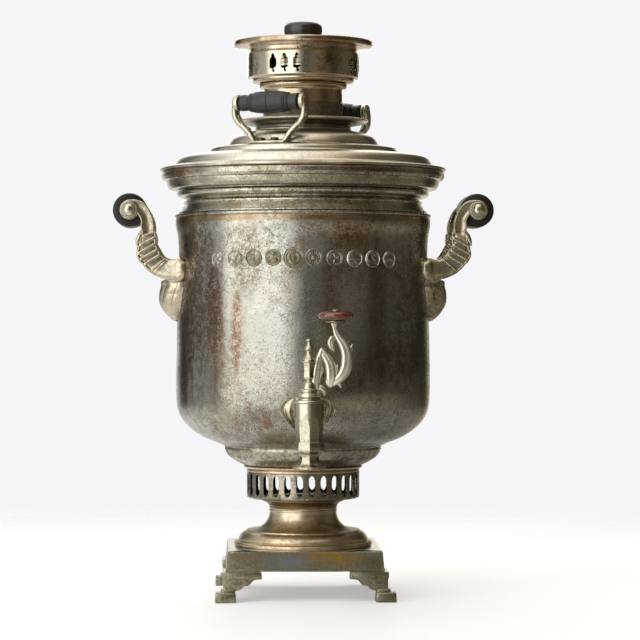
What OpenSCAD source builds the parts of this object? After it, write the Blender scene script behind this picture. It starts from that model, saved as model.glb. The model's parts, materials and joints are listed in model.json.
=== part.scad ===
// Charcoal samovar, about 8 litres, with one tap.
// Millimetres. Origin on the body's axis, on the plane the feet stand on.
// +Z up, the tap towards -Y.

/* [Base] */
// Half the width of the square base at its lower edge
base_half = 74.5; // [73:0.5:75.5]
// Width of a foot pad
pad_w = 19.5; // [16:0.5:22]
// Thickness of the foot brackets
foot_t = 4.5; // [3.5:0.5:6]

/* [Air ring] */
// Number of air slots, an odd number
slot_count = 29; // [21:2:31]
// Width of an air slot
slot_w = 6.6; // [5:0.2:8]

/* [Tank] */
// Thickness of the tank's sheet brass
sheet_t = 1.4; // [1.2:0.1:1.5]
// Thickness of the fire tube's sheet
tube_t = 1.5; // [1.2:0.1:2]

/* [Crown] */
// Outer radius of the flange that a teapot stands on
flange_r = 66.8; // [64:0.2:70]
// Turn of the crown's pierced groups about the axis, degrees
crown_turn = -21; // [-45:1:45]
// Radius of the damper cap's wooden knob
damper_knob_r = 18.7; // [16:0.1:22]

/* [Side handles] */
// Largest radius of a wooden side roller
grip_r = 16.3; // [14:0.1:17]
// Radius of a side handle's rod
grip_rod_r = 3; // [2.5:0.1:3.5]

/* [Lid handles] */
// Azimuth of the front lid handle, from the front towards -X, degrees
lid_handle_turn = 26; // [0:1:45]
// Radius of a lid roller's belly
lid_grip_r = 10.5; // [9:0.1:11]

/* [Tap] */
// Radial clearance of the tap's plug
plug_gap = 0.05; // [0.02:0.01:0.1]
// Radius of the spout's bore
spout_r = 5; // [4:0.1:5.5]
// Radius of the wooden disc on the key
tap_knob_r = 15.3; // [12:0.1:17]

/* [Hidden] */
$fn = 96;

nickel = [0.62, 0.60, 0.55];
bronze = [0.60, 0.48, 0.28];
pale = [0.74, 0.68, 0.55];
ebony = [0.06, 0.05, 0.05];
walnut = [0.20, 0.09, 0.05];
iron = [0.18, 0.17, 0.17];

tap_y = -162;      // axis of the tap's plug
shank_z = 175;     // axis of the tap's shank
grip_x = 165.5;    // axis of the side rollers
grip_z = 367;
slot_turn = -5.4;  // azimuth of the first air slot
lid_grip_y = -75;  // axis of the lid rollers, before the turn
lid_grip_z = 466.2;
vent_turn = 24;    // vent's azimuth, from the rear
vent_y = 80.5;

// ---- outlines, [radius, height], each from its lower end ----
pedestal_out = [[65.6, 46.5], [66.3, 48.4], [65.4, 50.6], [62.6, 51.4], [60.6, 55.2],
  [57.4, 58.2], [54.2, 60.2], [47, 61.6], [42, 63.1], [38, 66.3], [34.8, 70.2], [33, 74],
  [32.2, 78], [32.2, 80]];
cup_out = [[32.2, 80.05], [32.9, 81], [32.3, 82.2], [32.5, 84.2], [33.8, 86.4],
  [36.4, 88.6], [41.4, 90.9], [46.5, 92]];
gallery_out = [[42, 92.05], [52.3, 92.05], [53.5, 92.7], [54, 94], [54, 117]];
bottom_out = [[50.05, 123.05], [54.5, 123.05], [59.6, 125.2], [65.4, 128], [70.6, 131.7],
  [73.4, 135.6], [75, 139.4], [76, 142.5]];
wall_out = [[76, 142.6], [81.6, 145.1], [87.7, 147.3], [92.4, 149.2], [96.2, 151.1],
  [100, 153.3], [103.4, 155.5], [106.5, 157.9], [110.2, 161.2], [114, 165.3], [116.9, 169.5],
  [118.9, 173.6], [120.2, 178.2], [121.1, 183], [121.6, 190], [121.9, 210], [121.4, 235],
  [121, 253], [120, 290], [119.3, 330], [120.5, 345], [121.9, 351], [122.3, 357],
  [122.2, 363.5], [109.5, 363.5]];
cove_out = [[118.5, 363.6], [118.5, 364.4], [118, 366.3], [115, 370], [113, 374.6],
  [111.9, 378.4], [118.2, 379.6], [120.9, 382.6], [118.6, 385.6], [118.2, 386.2]];
rim_out = [[118.9, 386.3], [121.6, 386.6], [127.6, 387.4], [129.8, 390.4], [130.6, 393.4],
  [131.4, 395.6], [134.6, 397.4], [135.5, 400], [135.4, 403], [134.2, 404.2], [110.4, 404.2]];
tube_out = [[50, 118], [50, 250], [48.6, 290], [45.4, 320], [41, 345]];
neck_out = [[41, 345.05], [38, 368], [36.5, 390], [36.5, 489]];
lid_out = [[136.8, 405.2], [137.1, 406], [136.4, 407.4], [134.6, 408], [130, 408.4],
  [125.2, 409.2], [123.8, 410.4], [122.6, 412.8], [121.2, 415], [119.6, 416.9], [116.6, 418.4],
  [112, 419.7], [106, 420.4], [98, 420.9], [91.6, 421.2], [90.4, 421.8], [90.2, 424],
  [89.4, 426], [87.4, 427], [83.4, 427.4], [74.2, 427.8], [72.6, 428.4], [72.2, 430.4],
  [71.5, 432.6], [70.4, 434.6], [68.8, 436.6], [66.6, 438.4], [64.6, 439.3], [62, 440.2],
  [58, 441.3], [54, 442.2], [46, 443.6], [40, 443.6]];
crown_cup_out = [[38.6, 489.3], [45.6, 489.3], [48.2, 490.2], [49.3, 491.6], [49.3, 493.2],
  [50.6, 494.2], [53, 494.8], [53.7, 495.8], [53.7, 516.4], [53.2, 517.6], [52, 518.2], [52, 521.8]];

// ---- path tools ----
function unit(v) = v / norm(v);
function left(a, b) = let (d = unit(b - a)) [-d[1], d[0]];
function rev(v) = [for (i = [len(v) - 1:-1:0]) v[i]];
// path moved sideways by t, to its left
function beside(p, t) = [for (i = [0:len(p) - 1])
  let (n1 = i == 0 ? left(p[0], p[1]) : left(p[i - 1], p[i]),
       n2 = i == len(p) - 1 ? n1 : left(p[i], p[i + 1]),
       n = unit(n1 + n2))
  p[i] + n * t / max(0.5, n * n1)];
function band(p, t) = concat(p, rev(beside(p, t)));
function ribbon(p, t) = concat(beside(p, -t / 2), rev(beside(p, t / 2)));

// spun sheet: outline p, thickness t inwards
module spun(p, t) rotate_extrude() polygon(band(p, t));
module turned(p) rotate_extrude() polygon(p);
// the space outside the tank's wall, g mm off it, up to radius r
module off_wall(g, r, z0, z1) rotate_extrude()
  polygon(concat([[r, z0]], [for (q = beside(wall_out, -g)) if (q[1] > z0 && q[1] < z1 && q[0] > 100) q],
    [[r, z1]]));

// ---- base ----
module base_plate() color(bronze)
  difference() {
    union() {
      translate([0, 0, 28]) rotate([0, 0, 45])
        cylinder(h = 14, r1 = base_half * sqrt(2), r2 = (base_half - 1.2) * sqrt(2), $fn = 4);
      translate([-base_half + 1.6, -base_half + 1.6, 41])
        cube([2 * base_half - 3.2, 2 * base_half - 3.2, 5.5]);
    }
    translate([-base_half + 4, -base_half + 4, 27])
      cube([2 * base_half - 8, 2 * base_half - 8, 16.5]);
    cylinder(h = 60, r = 40);
  }

// bracket seen from the front, [outwards, up]
foot_side = [[65, 10], [78.5, 10], [78.5, 13], [77.6, 14.6], [77.2, 20], [76.4, 21.4],
  [76.4, 28], [41.5, 28], [41.5, 21.6], [48, 21.2], [51, 19.6], [53.5, 16.6], [58, 15.2],
  [62, 14.6], [64.6, 12.6]];
module foot() color(bronze)
  union() {
    translate([84.5 - pad_w, 84.5 - pad_w, 0]) cube([pad_w, pad_w, 10]);
    translate([0, 76.4, 0]) rotate([90, 0, 0]) linear_extrude(foot_t) polygon(foot_side);
    mirror([1, -1, 0]) translate([0, 76.4, 0]) rotate([90, 0, 0])
      linear_extrude(foot_t) polygon(foot_side);
    translate([65, 65, 10]) cube([76.4 - 65, 76.4 - 65, 6]);
  }
module foot_rear_right() foot();
module foot_rear_left() mirror([1, 0, 0]) foot();
module foot_front_right() mirror([0, 1, 0]) foot();
module foot_front_left() rotate([0, 0, 180]) foot();

module pedestal() color(bronze) spun(pedestal_out, 2);
module pedestal_cup() color(bronze)
  difference() {
    spun(cup_out, 2);
    translate([0, 0, 92]) cylinder(h = 6, r = 60);
  }

// ---- air ring ----
module slot_shape() {
  w = slot_w / 2;
  polygon([[0, 94.8], [w * 0.6, 96.6], [w, 99.4], [w, 111.4], [w * 0.6, 114.4], [0, 116],
    [-w * 0.6, 114.4], [-w, 111.4], [-w, 99.4], [-w * 0.6, 96.6]]);
}
module blower_gallery() color(nickel)
  difference() {
    spun(gallery_out, 1.5);
    for (i = [0:slot_count - 1]) rotate([0, 0, slot_turn + i * 360 / slot_count])
      translate([0, -50.5, 0]) rotate([90, 0, 0]) linear_extrude(6) slot_shape();
  }
module gallery_lip() color(nickel)
  turned([[50.1, 117.05], [53.2, 117.05], [53.7, 118.5], [53.2, 120], [55.6, 120.6],
    [56.5, 121.8], [56.2, 123], [50.1, 123]]);

// ---- tank ----
module body_bottom() color(nickel) spun(bottom_out, 1.5);
module body_wall() color(nickel)
  difference() {
    spun(wall_out, sheet_t);
    translate([0, -100, shank_z]) rotate([90, 0, 0]) cylinder(h = 40, r = 8.05);
  }
module rim_cove() color(nickel) spun(cove_out, 1.4);
module rim_ring() color(nickel) spun(rim_out, 1.4);
module fire_tube() color(bronze)
  union() {
    spun(tube_out, tube_t);
    turned([[44.5, 119], [49, 119], [49, 120.6], [44.5, 120.6]]);
  }
module fire_tube_neck() color(bronze)
  union() {
    spun(neck_out, tube_t);
    turned([[36, 457.4], [38.3, 457.4], [38.3, 469.8], [36, 469.8]]);
  }
module grate() color(iron)
  difference() {
    translate([0, 0, 120.7]) cylinder(h = 5, r = 48);
    translate([0, 0, 110]) cylinder(h = 30, r = 3.5);
    for (i = [0:5]) rotate([0, 0, i * 60]) translate([14, 0, 110]) cylinder(h = 30, r = 4);
    for (i = [0:11]) rotate([0, 0, i * 30]) translate([28, 0, 110]) cylinder(h = 30, r = 4);
    for (i = [0:17]) rotate([0, 0, i * 20]) translate([40, 0, 110]) cylinder(h = 30, r = 3.5);
  }

// ---- side handles, the right-hand one ----
// an arm seen from the front, [outwards, up]
arm_side = [[161, 358.9], [157.5, 359.6], [155.4, 357.6], [155.6, 350.5], [153.4, 346],
  [155.2, 340.2], [157.2, 333.6], [158.8, 326], [156, 317.5], [150.3, 310], [142.7, 305.2],
  [133.3, 301.4], [115, 301.4], [115, 321.5], [127.6, 320.3], [132.4, 323.2], [138, 333.6],
  [141.8, 340.2], [143.6, 342.6], [142.2, 347], [141.8, 353.5], [143.7, 361], [146.5, 367],
  [149.4, 371.6], [153.2, 374.6], [158, 376.2], [165.5, 376.2]];
// the leaf under it, [outwards, up]
leaf_side = [[110, 301.6], [133, 301.6], [135.6, 296], [136.8, 290], [137, 281.6],
  [135.6, 274], [133.2, 267.6], [128.5, 263.2], [110, 262]];
// the leaf seen from the side, [along Y, up]
leaf_front = [[-33, 303], [-35, 294], [-32, 283], [-25, 273], [-14, 265.5], [0, 262],
  [14, 265.5], [25, 273], [32, 283], [35, 294], [33, 303]];
module y_bar(x, z, r, y0, y1) translate([x, y1, z]) rotate([90, 0, 0]) cylinder(h = y1 - y0, r = r);
module handle() color(bronze)
  difference() {
    intersection() {
      union() {
        for (y = [-36, 27]) {
          translate([0, y + 9, 0]) rotate([90, 0, 0]) linear_extrude(9) polygon(arm_side);
          y_bar(grip_x, grip_z, 9.2, y, y + 9);
        }
        translate([114, -30, 301.5]) cube([17, 60, 18]);
        intersection() {
          translate([0, 40, 0]) rotate([90, 0, 0]) linear_extrude(80) polygon(leaf_side);
          rotate([90, 0, 90]) linear_extrude(140) polygon(leaf_front);
        }
      }
      off_wall(0.1, 190, 250, 385);
    }
    y_bar(grip_x, grip_z, grip_rod_r + 0.02, -50, 50);
  }
module handle_right() handle();
module handle_left() mirror([1, 0, 0]) handle();
module grip_rods() color(iron)
  for (s = [-1, 1]) y_bar(s * grip_x, grip_z, grip_rod_r, -36, 36);
module cap_dome() turned([[0, 0.05], [7.4, 0.05], [7.4, 1.4], [6, 2], [5.6, 3], [4.4, 4.6],
  [2.4, 5.6], [0, 5.9]]);
module grip_caps() color(pale)
  for (s = [-1, 1]) {
    translate([s * grip_x, -36, grip_z]) rotate([90, 0, 0]) cap_dome();
    translate([s * grip_x, 36, grip_z]) rotate([-90, 0, 0]) cap_dome();
  }
module side_grip() color(ebony)
  rotate([90, 0, 0]) turned([[grip_rod_r + 0.06, -26.6], [13.4, -26.6], [14.6, -25.6],
    [14.6, -23.4], [13.6, -22.4], [15.4, -21.4], [grip_r, -15], [grip_r, 15], [15.4, 21.4],
    [13.6, 22.4], [14.6, 23.4], [14.6, 25.6], [13.4, 26.6], [grip_rod_r + 0.06, 26.6]]);
module grip_right() translate([grip_x, 0, grip_z]) side_grip();
module grip_left() translate([-grip_x, 0, grip_z]) side_grip();

// ---- tap ----
function taper(z) = 7 + (z - 150) * 0.04;
module tap_body() color(pale)
  difference() {
    union() {
      translate([0, tap_y, 0]) {
        turned([[0, 129], [14.6, 129], [14.6, 131], [12.4, 132.4], [9.4, 135], [8.6, 138],
          [8.6, 144.2], [0, 144.2]]);
        translate([0, 0, 144]) cylinder(h = 10, r = 13.2, $fn = 8);
        translate([0, 0, 153]) cylinder(h = 4.5, r = 12, $fn = 8);
        translate([0, 0, 157]) cylinder(h = 28, r1 = 12, r2 = 13.7, $fn = 8);
        translate([0, 0, 185]) cylinder(h = 3.2, r = 12.4);
        translate([0, 0, 188]) cylinder(h = 3, r = 14.4);
      }
      translate([0, -112, shank_z]) rotate([90, 0, 0]) cylinder(h = 42, r = 8);
    }
    translate([0, tap_y, 120]) cylinder(h = 40, r = spout_r);
    translate([0, tap_y, 150]) cylinder(h = 41.1, r1 = taper(150), r2 = taper(191.1));
    translate([0, -100, shank_z]) rotate([90, 0, 0]) cylinder(h = -tap_y - 100, r = 4.5);
  }
module tap_escutcheon() color(pale)
  difference() {
    intersection() {
      difference() {
        off_wall(0.1, 140, 150, 200);
        off_wall(4, 150, 140, 210);
      }
      rotate([90, 0, 0]) linear_extrude(150) polygon([[0, 156.5], [8, 160], [14, 158.5],
        [19, 164], [23, 171], [22, 181], [17.5, 189], [9, 192.6], [0, 193.4], [-9, 192.6],
        [-17.5, 189], [-22, 181], [-23, 171], [-19, 164], [-14, 158.5], [-8, 160]]);
    }
    translate([0, -90, shank_z]) rotate([90, 0, 0]) cylinder(h = 80, r = 8.05);
  }
module tap_plug() color(pale)
  translate([0, tap_y, 0]) difference() {
    union() {
      translate([0, 0, 150.3]) cylinder(h = 41, r1 = taper(150.3) - plug_gap, r2 = taper(191.3) - plug_gap);
      turned([[0, 191.2], [10, 191.2], [10, 192.4], [7.2, 192.8], [7.2, 199.6], [8.6, 200.4],
        [8.4, 201.4], [6.6, 203.4], [4.2, 205.4], [3.8, 209], [0, 209]]);
      translate([0, 0, 208.8]) cylinder(h = 13.8, r = 6, $fn = 6);
      turned([[0, 222.4], [5, 222.4], [6, 223.6], [6, 225.2], [4.4, 229], [2.4, 232.2],
        [2.4, 233.6], [4.4, 235.4], [4.4, 237.2], [2.8, 240.2], [1.7, 242.4], [2.9, 243.8],
        [2.9, 245], [1.8, 246.1], [0, 246.4]]);
    }
    translate([0, 0, 149]) cylinder(h = 31.5, r = 4.6);
    translate([0, 0, shank_z]) rotate([0, -90, 0]) cylinder(h = 12, r = 4.3);
  }
// the vine-like key, [out along X, up]
branch_path = [[10.6, 196.6], [12, 200.4], [12, 205], [10, 211], [9, 218], [9.5, 228.5],
  [10.6, 232.2], [13.2, 233.8], [15.8, 232.2], [16.9, 228.5], [17, 218], [20, 209.6], [25, 206.4], [29.6, 210],
  [33.6, 219], [36, 229], [35.4, 238.6], [31, 244.6], [25.6, 249], [24, 254], [24, 260]];
module tap_branch() color(pale)
  union() {
    translate([0, tap_y, 0]) turned([[7.25, 193.4], [9.2, 194], [9.6, 196.4], [9.2, 199],
      [7.25, 199.4]]);
    translate([0, tap_y + 3.2, 0]) rotate([90, 0, 0]) linear_extrude(6.4)
      polygon(ribbon(branch_path, 5.2));
  }
module tap_washer() color(pale)
  translate([24, tap_y, 260.05]) difference() { cylinder(h = 2.6, r = 7); translate([0, 0, -1]) cylinder(h = 5, r = 1.65); }
module tap_knob() color(walnut)
  translate([24, tap_y, 0]) turned([[1.65, 262.7], [8, 262.7], [13.6, 263.8],
    [tap_knob_r, 266], [tap_knob_r, 268], [13.8, 270], [9, 271], [1.65, 271]]);
module tap_screw() color(iron)
  translate([24, tap_y, 0]) turned([[0, 260.05], [1.6, 260.05], [1.6, 271.05], [3.6, 271.05], [3.2, 272.4],
    [1.6, 273], [0, 273.1]]);

// ---- lid ----
module lid_turn(a) rotate([0, 0, a]) children();
// the line of a foot plate's screw, upright on its toe, from the plate's top
module screw_line(x) translate([x, -80.2, 430.6]) children();
module lid_shell() color(nickel)
  difference() {
    union() {
      spun(lid_out, 1.4);
      turned([[107.6, 396], [109.6, 396], [109.6, 404.3], [133.9, 404.3], [136.6, 405.3],
        [136.2, 406.2], [107.6, 405.7]]);
    }
    lid_turn(vent_turn) translate([0, vent_y, 420]) cylinder(h = 20, r = 4.05);
    for (a = [0, 180], x = [-6.8, 6.8]) lid_turn(a - lid_handle_turn)
      screw_line(x) translate([0, 0, -8]) cylinder(h = 16, r = 1.85);
  }
module lid_collar() color(nickel)
  turned([[38.9, 457.2], [38.9, 455.4], [44, 454], [44, 443.65], [46.6, 443.65], [46, 445],
    [46, 448.4], [50, 449.2], [54, 449.8], [58, 450.9], [61.4, 452.2], [62.6, 453.2],
    [62.4, 454.2], [60, 454.5], [54, 454.9], [47.5, 455.5], [42, 456.4]]);
lyre = [[33.4, 466], [33.4, 458], [33.2, 452.5], [30.6, 448], [26, 443.4], [21.4, 438.6],
  [17.6, 434], [14.8, 429.6]];
module lid_handle() color(pale)
  difference() {
    union() {
      for (s = [0, 1]) mirror([s, 0, 0]) {
        translate([0, -71.6, 0]) rotate([90, 0, 0]) linear_extrude(7.4)
          polygon(ribbon(lyre, 5));
        translate([31, lid_grip_y, lid_grip_z]) rotate([0, 90, 0]) cylinder(h = 5, r = 7.6);
      }
      intersection() {
        turned([[88, 427.4], [88.4, 429.2], [83.5, 430], [75, 430.6], [74.5, 431.1],
          [73.6, 433.6], [72.3, 436.1], [70.4, 438.5], [67.8, 440.7], [66.4, 441.2],
          [65.6, 439.4], [66.8, 438.8], [69.05, 436.95], [70.75, 434.85], [71.9, 432.7],
          [72.6, 430.4], [72.95, 428.7], [74.4, 428.15], [83.4, 427.8]]);
        translate([-18, -100, 420]) cube([36, 60, 40]);
      }
    }
    translate([-40, lid_grip_y, lid_grip_z]) rotate([0, 90, 0]) cylinder(h = 80, r = 2.22);
    for (x = [-6.8, 6.8]) screw_line(x) translate([0, 0, -8]) cylinder(h = 16, r = 1.85);
  }
module lid_handle_front() lid_turn(-lid_handle_turn) lid_handle();
module lid_handle_rear() lid_turn(180 - lid_handle_turn) lid_handle();
module lid_handle_screws() color(iron)
  for (a = [0, 180], x = [-6.8, 6.8]) lid_turn(a - lid_handle_turn)
    screw_line(x) turned([[0, -6], [1.8, -6], [1.8, 0], [4, 0], [3.9, 1],
      [2.9, 2], [0, 2.4]]);
module lid_grip_rods() color(iron)
  for (a = [0, 180]) lid_turn(a - lid_handle_turn) translate([-36, lid_grip_y, lid_grip_z])
    rotate([0, 90, 0]) cylinder(h = 72, r = 2.2);
module lid_grip_caps() color(pale)
  for (a = [0, 180], s = [0, 1]) lid_turn(a - lid_handle_turn) mirror([s, 0, 0])
    translate([36.05, lid_grip_y, lid_grip_z]) rotate([0, 90, 0])
      turned([[0, 0], [6.2, 0], [5.9, 1], [4, 2.1], [0, 2.6]]);
module lid_grip() color(ebony)
  translate([0, lid_grip_y, lid_grip_z]) rotate([0, 90, 0])
    turned([[2.26, -29.5], [7, -29.5], [7.5, -29], [7.5, -21.5], [8.6, -20.6], [8.6, -18.4],
      [9.4, -15], [10.2, -9], [lid_grip_r, -3], [lid_grip_r, 3], [10.2, 9], [9.4, 15],
      [8.6, 18.4], [8.6, 20.6], [7.5, 21.5], [7.5, 29], [7, 29.5], [2.26, 29.5]]);
module lid_grip_front() lid_turn(-lid_handle_turn) lid_grip();
module lid_grip_rear() lid_turn(180 - lid_handle_turn) lid_grip();

// ---- steam vent ----
module vent_tube() color(nickel)
  lid_turn(vent_turn) translate([0, vent_y, 0]) difference() {
    union() {
      translate([0, 0, 420.5]) cylinder(h = 11.3, r = 4);
      turned([[3.5, 428], [6.4, 428], [5.4, 429.4], [3.5, 429.4]]);
      for (x = [-4.4, 2.2]) {
        translate([x, 2, 428.2]) cube([2.2, 5.4, 2.4]);
        translate([x, 7.4, 431.6]) rotate([0, 90, 0]) cylinder(h = 2.2, r = 2.1);
        translate([x, 5.6, 428.2]) cube([2.2, 3.6, 3]);
      }
    }
    translate([0, 0, 416.5]) cylinder(h = 30, r = 2.9);
    translate([-10, 7.4, 431.6]) rotate([0, 90, 0]) cylinder(h = 20, r = 1.02);
  }
module vent_pin() color(iron)
  lid_turn(vent_turn) translate([-4.4, vent_y + 7.4, 431.6]) rotate([0, 90, 0]) cylinder(h = 8.8, r = 1);
module vent_cap() color(nickel)
  lid_turn(vent_turn) translate([0, vent_y, 0]) difference() {
    union() {
      turned([[0, 432.1], [5, 432.1], [5, 433.4], [3.4, 434.4], [1.6, 435], [1.4, 436.2],
        [2.6, 437.4], [2.4, 438.8], [0, 439.6]]);
      translate([-1.8, 3, 432.1]) cube([3.6, 4.4, 1.5]);
      translate([-1.8, 7.4, 431.6]) rotate([0, 90, 0]) cylinder(h = 3.6, r = 2);
    }
    translate([-10, 7.4, 431.6]) rotate([0, 90, 0]) cylinder(h = 20, r = 1.05);
  }

// ---- crown ----
module crown_sleeve() color(nickel)
  turned([[36.9, 469.9], [37.6, 469.9], [37.6, 470.9], [38.3, 471.1], [38.3, 484.4], [41.6, 485], [42.3, 486.8],
    [41.6, 489.2], [36.9, 489.2]]);
module draft_shape() {
  polygon([[-1, 499.2], [-3.5, 500.2], [-3.7, 505], [-3.5, 510], [-2.1, 510.8], [-2.2, 512],
    [-1.4, 514], [0, 515.4], [1.4, 514], [2.2, 512], [2.1, 510.8], [3.5, 510], [3.7, 505],
    [3.5, 500.2], [1, 499.2]]);
  translate([0, 498]) circle(r = 1.9, $fn = 24);
}
module crown_cup() color(nickel)
  difference() {
    spun(crown_cup_out, 1.4);
    for (g = [0:90:270], i = [-13, 0, 13]) rotate([0, 0, crown_turn + g + i])
      translate([0, -50, 0]) rotate([90, 0, 0]) linear_extrude(6) draft_shape();
  }
module crown_flange() color(nickel)
  turned([[50.6, 521.85], [54.2, 521.85], [56, 522.6], [flange_r - 2, 523.9],
    [flange_r - 0.4, 525.2], [flange_r, 527.2], [flange_r - 0.4, 529], [flange_r - 1.4, 529.8],
    [48.4, 529.8], [48.4, 529], [45, 529], [45, 527.6], [50.6, 526.8]]);

// ---- damper cap ----
module damper_plate() color(nickel)
  turned([[2.05, 532.5], [30, 532.2], [46.2, 531.2], [47.8, 530.4], [47.8, 529.1], [43, 529.1],
    [42.6, 529.9], [30, 530.7], [2.05, 531]]);
module damper_skirt() color(nickel)
  turned([[43.2, 503.6], [44.4, 503.6], [44.4, 529.05], [43.2, 529.05]]);
module damper_knob() color(walnut)
  turned([[0, 543.8], [2.05, 543.8], [2.05, 532.55], [8, 532.55], [11, 533.6], [16, 535.4],
    [damper_knob_r - 0.4, 538.2], [damper_knob_r, 540.8], [damper_knob_r - 0.6, 543.8],
    [damper_knob_r - 3.4, 546.4], [10, 548], [0, 548.6]]);
module damper_screw() color(iron)
  turned([[0, 529.2], [4, 529.6], [4.2, 530.95], [2, 530.95], [2, 542.8], [0, 543.4]]);

base_plate();
foot_front_left();
foot_front_right();
foot_rear_left();
foot_rear_right();
pedestal();
pedestal_cup();
blower_gallery();
gallery_lip();
body_bottom();
body_wall();
rim_cove();
rim_ring();
fire_tube();
fire_tube_neck();
grate();
handle_left();
handle_right();
grip_rods();
grip_caps();
grip_left();
grip_right();
tap_body();
tap_escutcheon();
tap_plug();
tap_branch();
tap_washer();
tap_knob();
tap_screw();
lid_shell();
lid_collar();
lid_handle_front();
lid_handle_rear();
lid_handle_screws();
lid_grip_rods();
lid_grip_caps();
lid_grip_front();
lid_grip_rear();
vent_tube();
vent_pin();
vent_cap();
crown_sleeve();
crown_cup();
crown_flange();
damper_plate();
damper_skirt();
damper_knob();
damper_screw();
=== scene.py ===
import bpy, bmesh, json, math
from mathutils import Vector, Matrix, noise

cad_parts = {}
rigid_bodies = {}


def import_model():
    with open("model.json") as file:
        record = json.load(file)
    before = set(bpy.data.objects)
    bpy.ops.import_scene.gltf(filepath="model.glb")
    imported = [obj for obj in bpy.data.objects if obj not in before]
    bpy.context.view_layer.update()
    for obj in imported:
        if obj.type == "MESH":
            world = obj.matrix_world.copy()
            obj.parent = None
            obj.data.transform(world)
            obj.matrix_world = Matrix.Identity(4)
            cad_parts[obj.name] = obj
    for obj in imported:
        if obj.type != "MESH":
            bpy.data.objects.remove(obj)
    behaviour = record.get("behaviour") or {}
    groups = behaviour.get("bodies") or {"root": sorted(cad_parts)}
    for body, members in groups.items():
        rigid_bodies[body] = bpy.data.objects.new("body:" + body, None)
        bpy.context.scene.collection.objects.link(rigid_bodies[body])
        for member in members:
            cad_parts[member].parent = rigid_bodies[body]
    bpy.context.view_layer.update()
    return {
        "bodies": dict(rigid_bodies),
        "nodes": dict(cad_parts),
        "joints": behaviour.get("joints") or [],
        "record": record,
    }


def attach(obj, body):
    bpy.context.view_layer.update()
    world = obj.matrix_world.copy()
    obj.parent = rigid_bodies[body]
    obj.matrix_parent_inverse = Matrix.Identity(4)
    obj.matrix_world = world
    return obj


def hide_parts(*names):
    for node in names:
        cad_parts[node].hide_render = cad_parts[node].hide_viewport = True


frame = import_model()
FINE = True

# ------------------------------------------------------------------ camera
YAW = math.radians(2.3)          # the front is turned this much to the camera's right
DIST, EYE, SIDE = 2.404, 0.272, 0.0163
cam_data = bpy.data.cameras.new("camera")
cam_data.sensor_width = 36
cam_data.lens = 140.6
cam_data.shift_y = -10 / 640
cam = bpy.data.objects.new("camera", cam_data)
bpy.context.scene.collection.objects.link(cam)
turn = Matrix.Rotation(-YAW, 4, "Z")
cam.matrix_world = turn @ Matrix.Translation((SIDE, -DIST, EYE)) @ Matrix.Rotation(math.pi / 2, 4, "X")
bpy.context.scene.camera = cam

# ------------------------------------------------------------------ node tools
class Tree:
    def __init__(self, tree):
        self.t = tree
        tree.nodes.clear()

    def new(self, kind, **props):
        n = self.t.nodes.new(kind)
        for k, v in props.items():
            setattr(n, k, v)
        return n

    def put(self, sock, v):
        if isinstance(v, bpy.types.NodeSocket):
            self.t.links.new(v, sock)
        elif hasattr(v, "__len__") and sock.type == "RGBA" and len(v) == 3:
            sock.default_value = (*v, 1)
        else:
            sock.default_value = v

    def math(self, op, a, b=0.0, c=None, clamp=False):
        n = self.new("ShaderNodeMath", operation=op, use_clamp=clamp)
        self.put(n.inputs[0], a)
        self.put(n.inputs[1], b)
        if c is not None:
            self.put(n.inputs[2], c)
        return n.outputs[0]

    def mul(self, a, b): return self.math("MULTIPLY", a, b)
    def add(self, a, b): return self.math("ADD", a, b)
    def sub(self, a, b): return self.math("SUBTRACT", a, b)

    def vec(self, v, scale=(1, 1, 1), loc=(0, 0, 0)):
        n = self.new("ShaderNodeMapping")
        self.put(n.inputs["Vector"], v)
        n.inputs["Scale"].default_value = scale
        n.inputs["Location"].default_value = loc
        return n.outputs[0]

    def noise(self, v, scale, detail=3.0, rough=0.5, lac=2.0, dist=0.0):
        n = self.new("ShaderNodeTexNoise")
        self.put(n.inputs["Vector"], v)
        n.inputs["Scale"].default_value = scale
        n.inputs["Detail"].default_value = detail
        n.inputs["Roughness"].default_value = rough
        n.inputs["Lacunarity"].default_value = lac
        n.inputs["Distortion"].default_value = dist
        return n.outputs["Fac"]

    def voronoi(self, v, scale, feature="F1"):
        n = self.new("ShaderNodeTexVoronoi", feature=feature)
        self.put(n.inputs["Vector"], v)
        n.inputs["Scale"].default_value = scale
        return n.outputs["Distance"]

    def step(self, v, lo, hi, a=0.0, b=1.0):
        n = self.new("ShaderNodeMapRange", interpolation_type="SMOOTHSTEP")
        self.put(n.inputs["Value"], v)
        n.inputs["From Min"].default_value = lo
        n.inputs["From Max"].default_value = hi
        n.inputs["To Min"].default_value = a
        n.inputs["To Max"].default_value = b
        return n.outputs[0]

    def box(self, v, lo, hi, soft):
        """1 between lo and hi, 0 outside, with soft ends."""
        return self.mul(self.step(v, lo - soft, lo + soft), self.step(v, hi - soft, hi + soft, 1, 0))

    def mix(self, f, a, b):
        n = self.new("ShaderNodeMix", data_type="RGBA")
        self.put(n.inputs["Factor"], f)
        self.put(n.inputs[6], a)
        self.put(n.inputs[7], b)
        return n.outputs[2]

    def mixf(self, f, a, b):
        n = self.new("ShaderNodeMix", data_type="FLOAT")
        self.put(n.inputs["Factor"], f)
        self.put(n.inputs[2], a)
        self.put(n.inputs[3], b)
        return n.outputs[0]

    def xyz(self, v):
        n = self.new("ShaderNodeSeparateXYZ")
        self.put(n.inputs[0], v)
        return n.outputs[0], n.outputs[1], n.outputs[2]

    def bump(self, h, strength, dist, normal=None):
        n = self.new("ShaderNodeBump")
        self.put(n.inputs["Height"], h)
        n.inputs["Strength"].default_value = strength
        n.inputs["Distance"].default_value = dist
        if normal is not None:
            self.put(n.inputs["Normal"], normal)
        return n.outputs[0]


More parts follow.
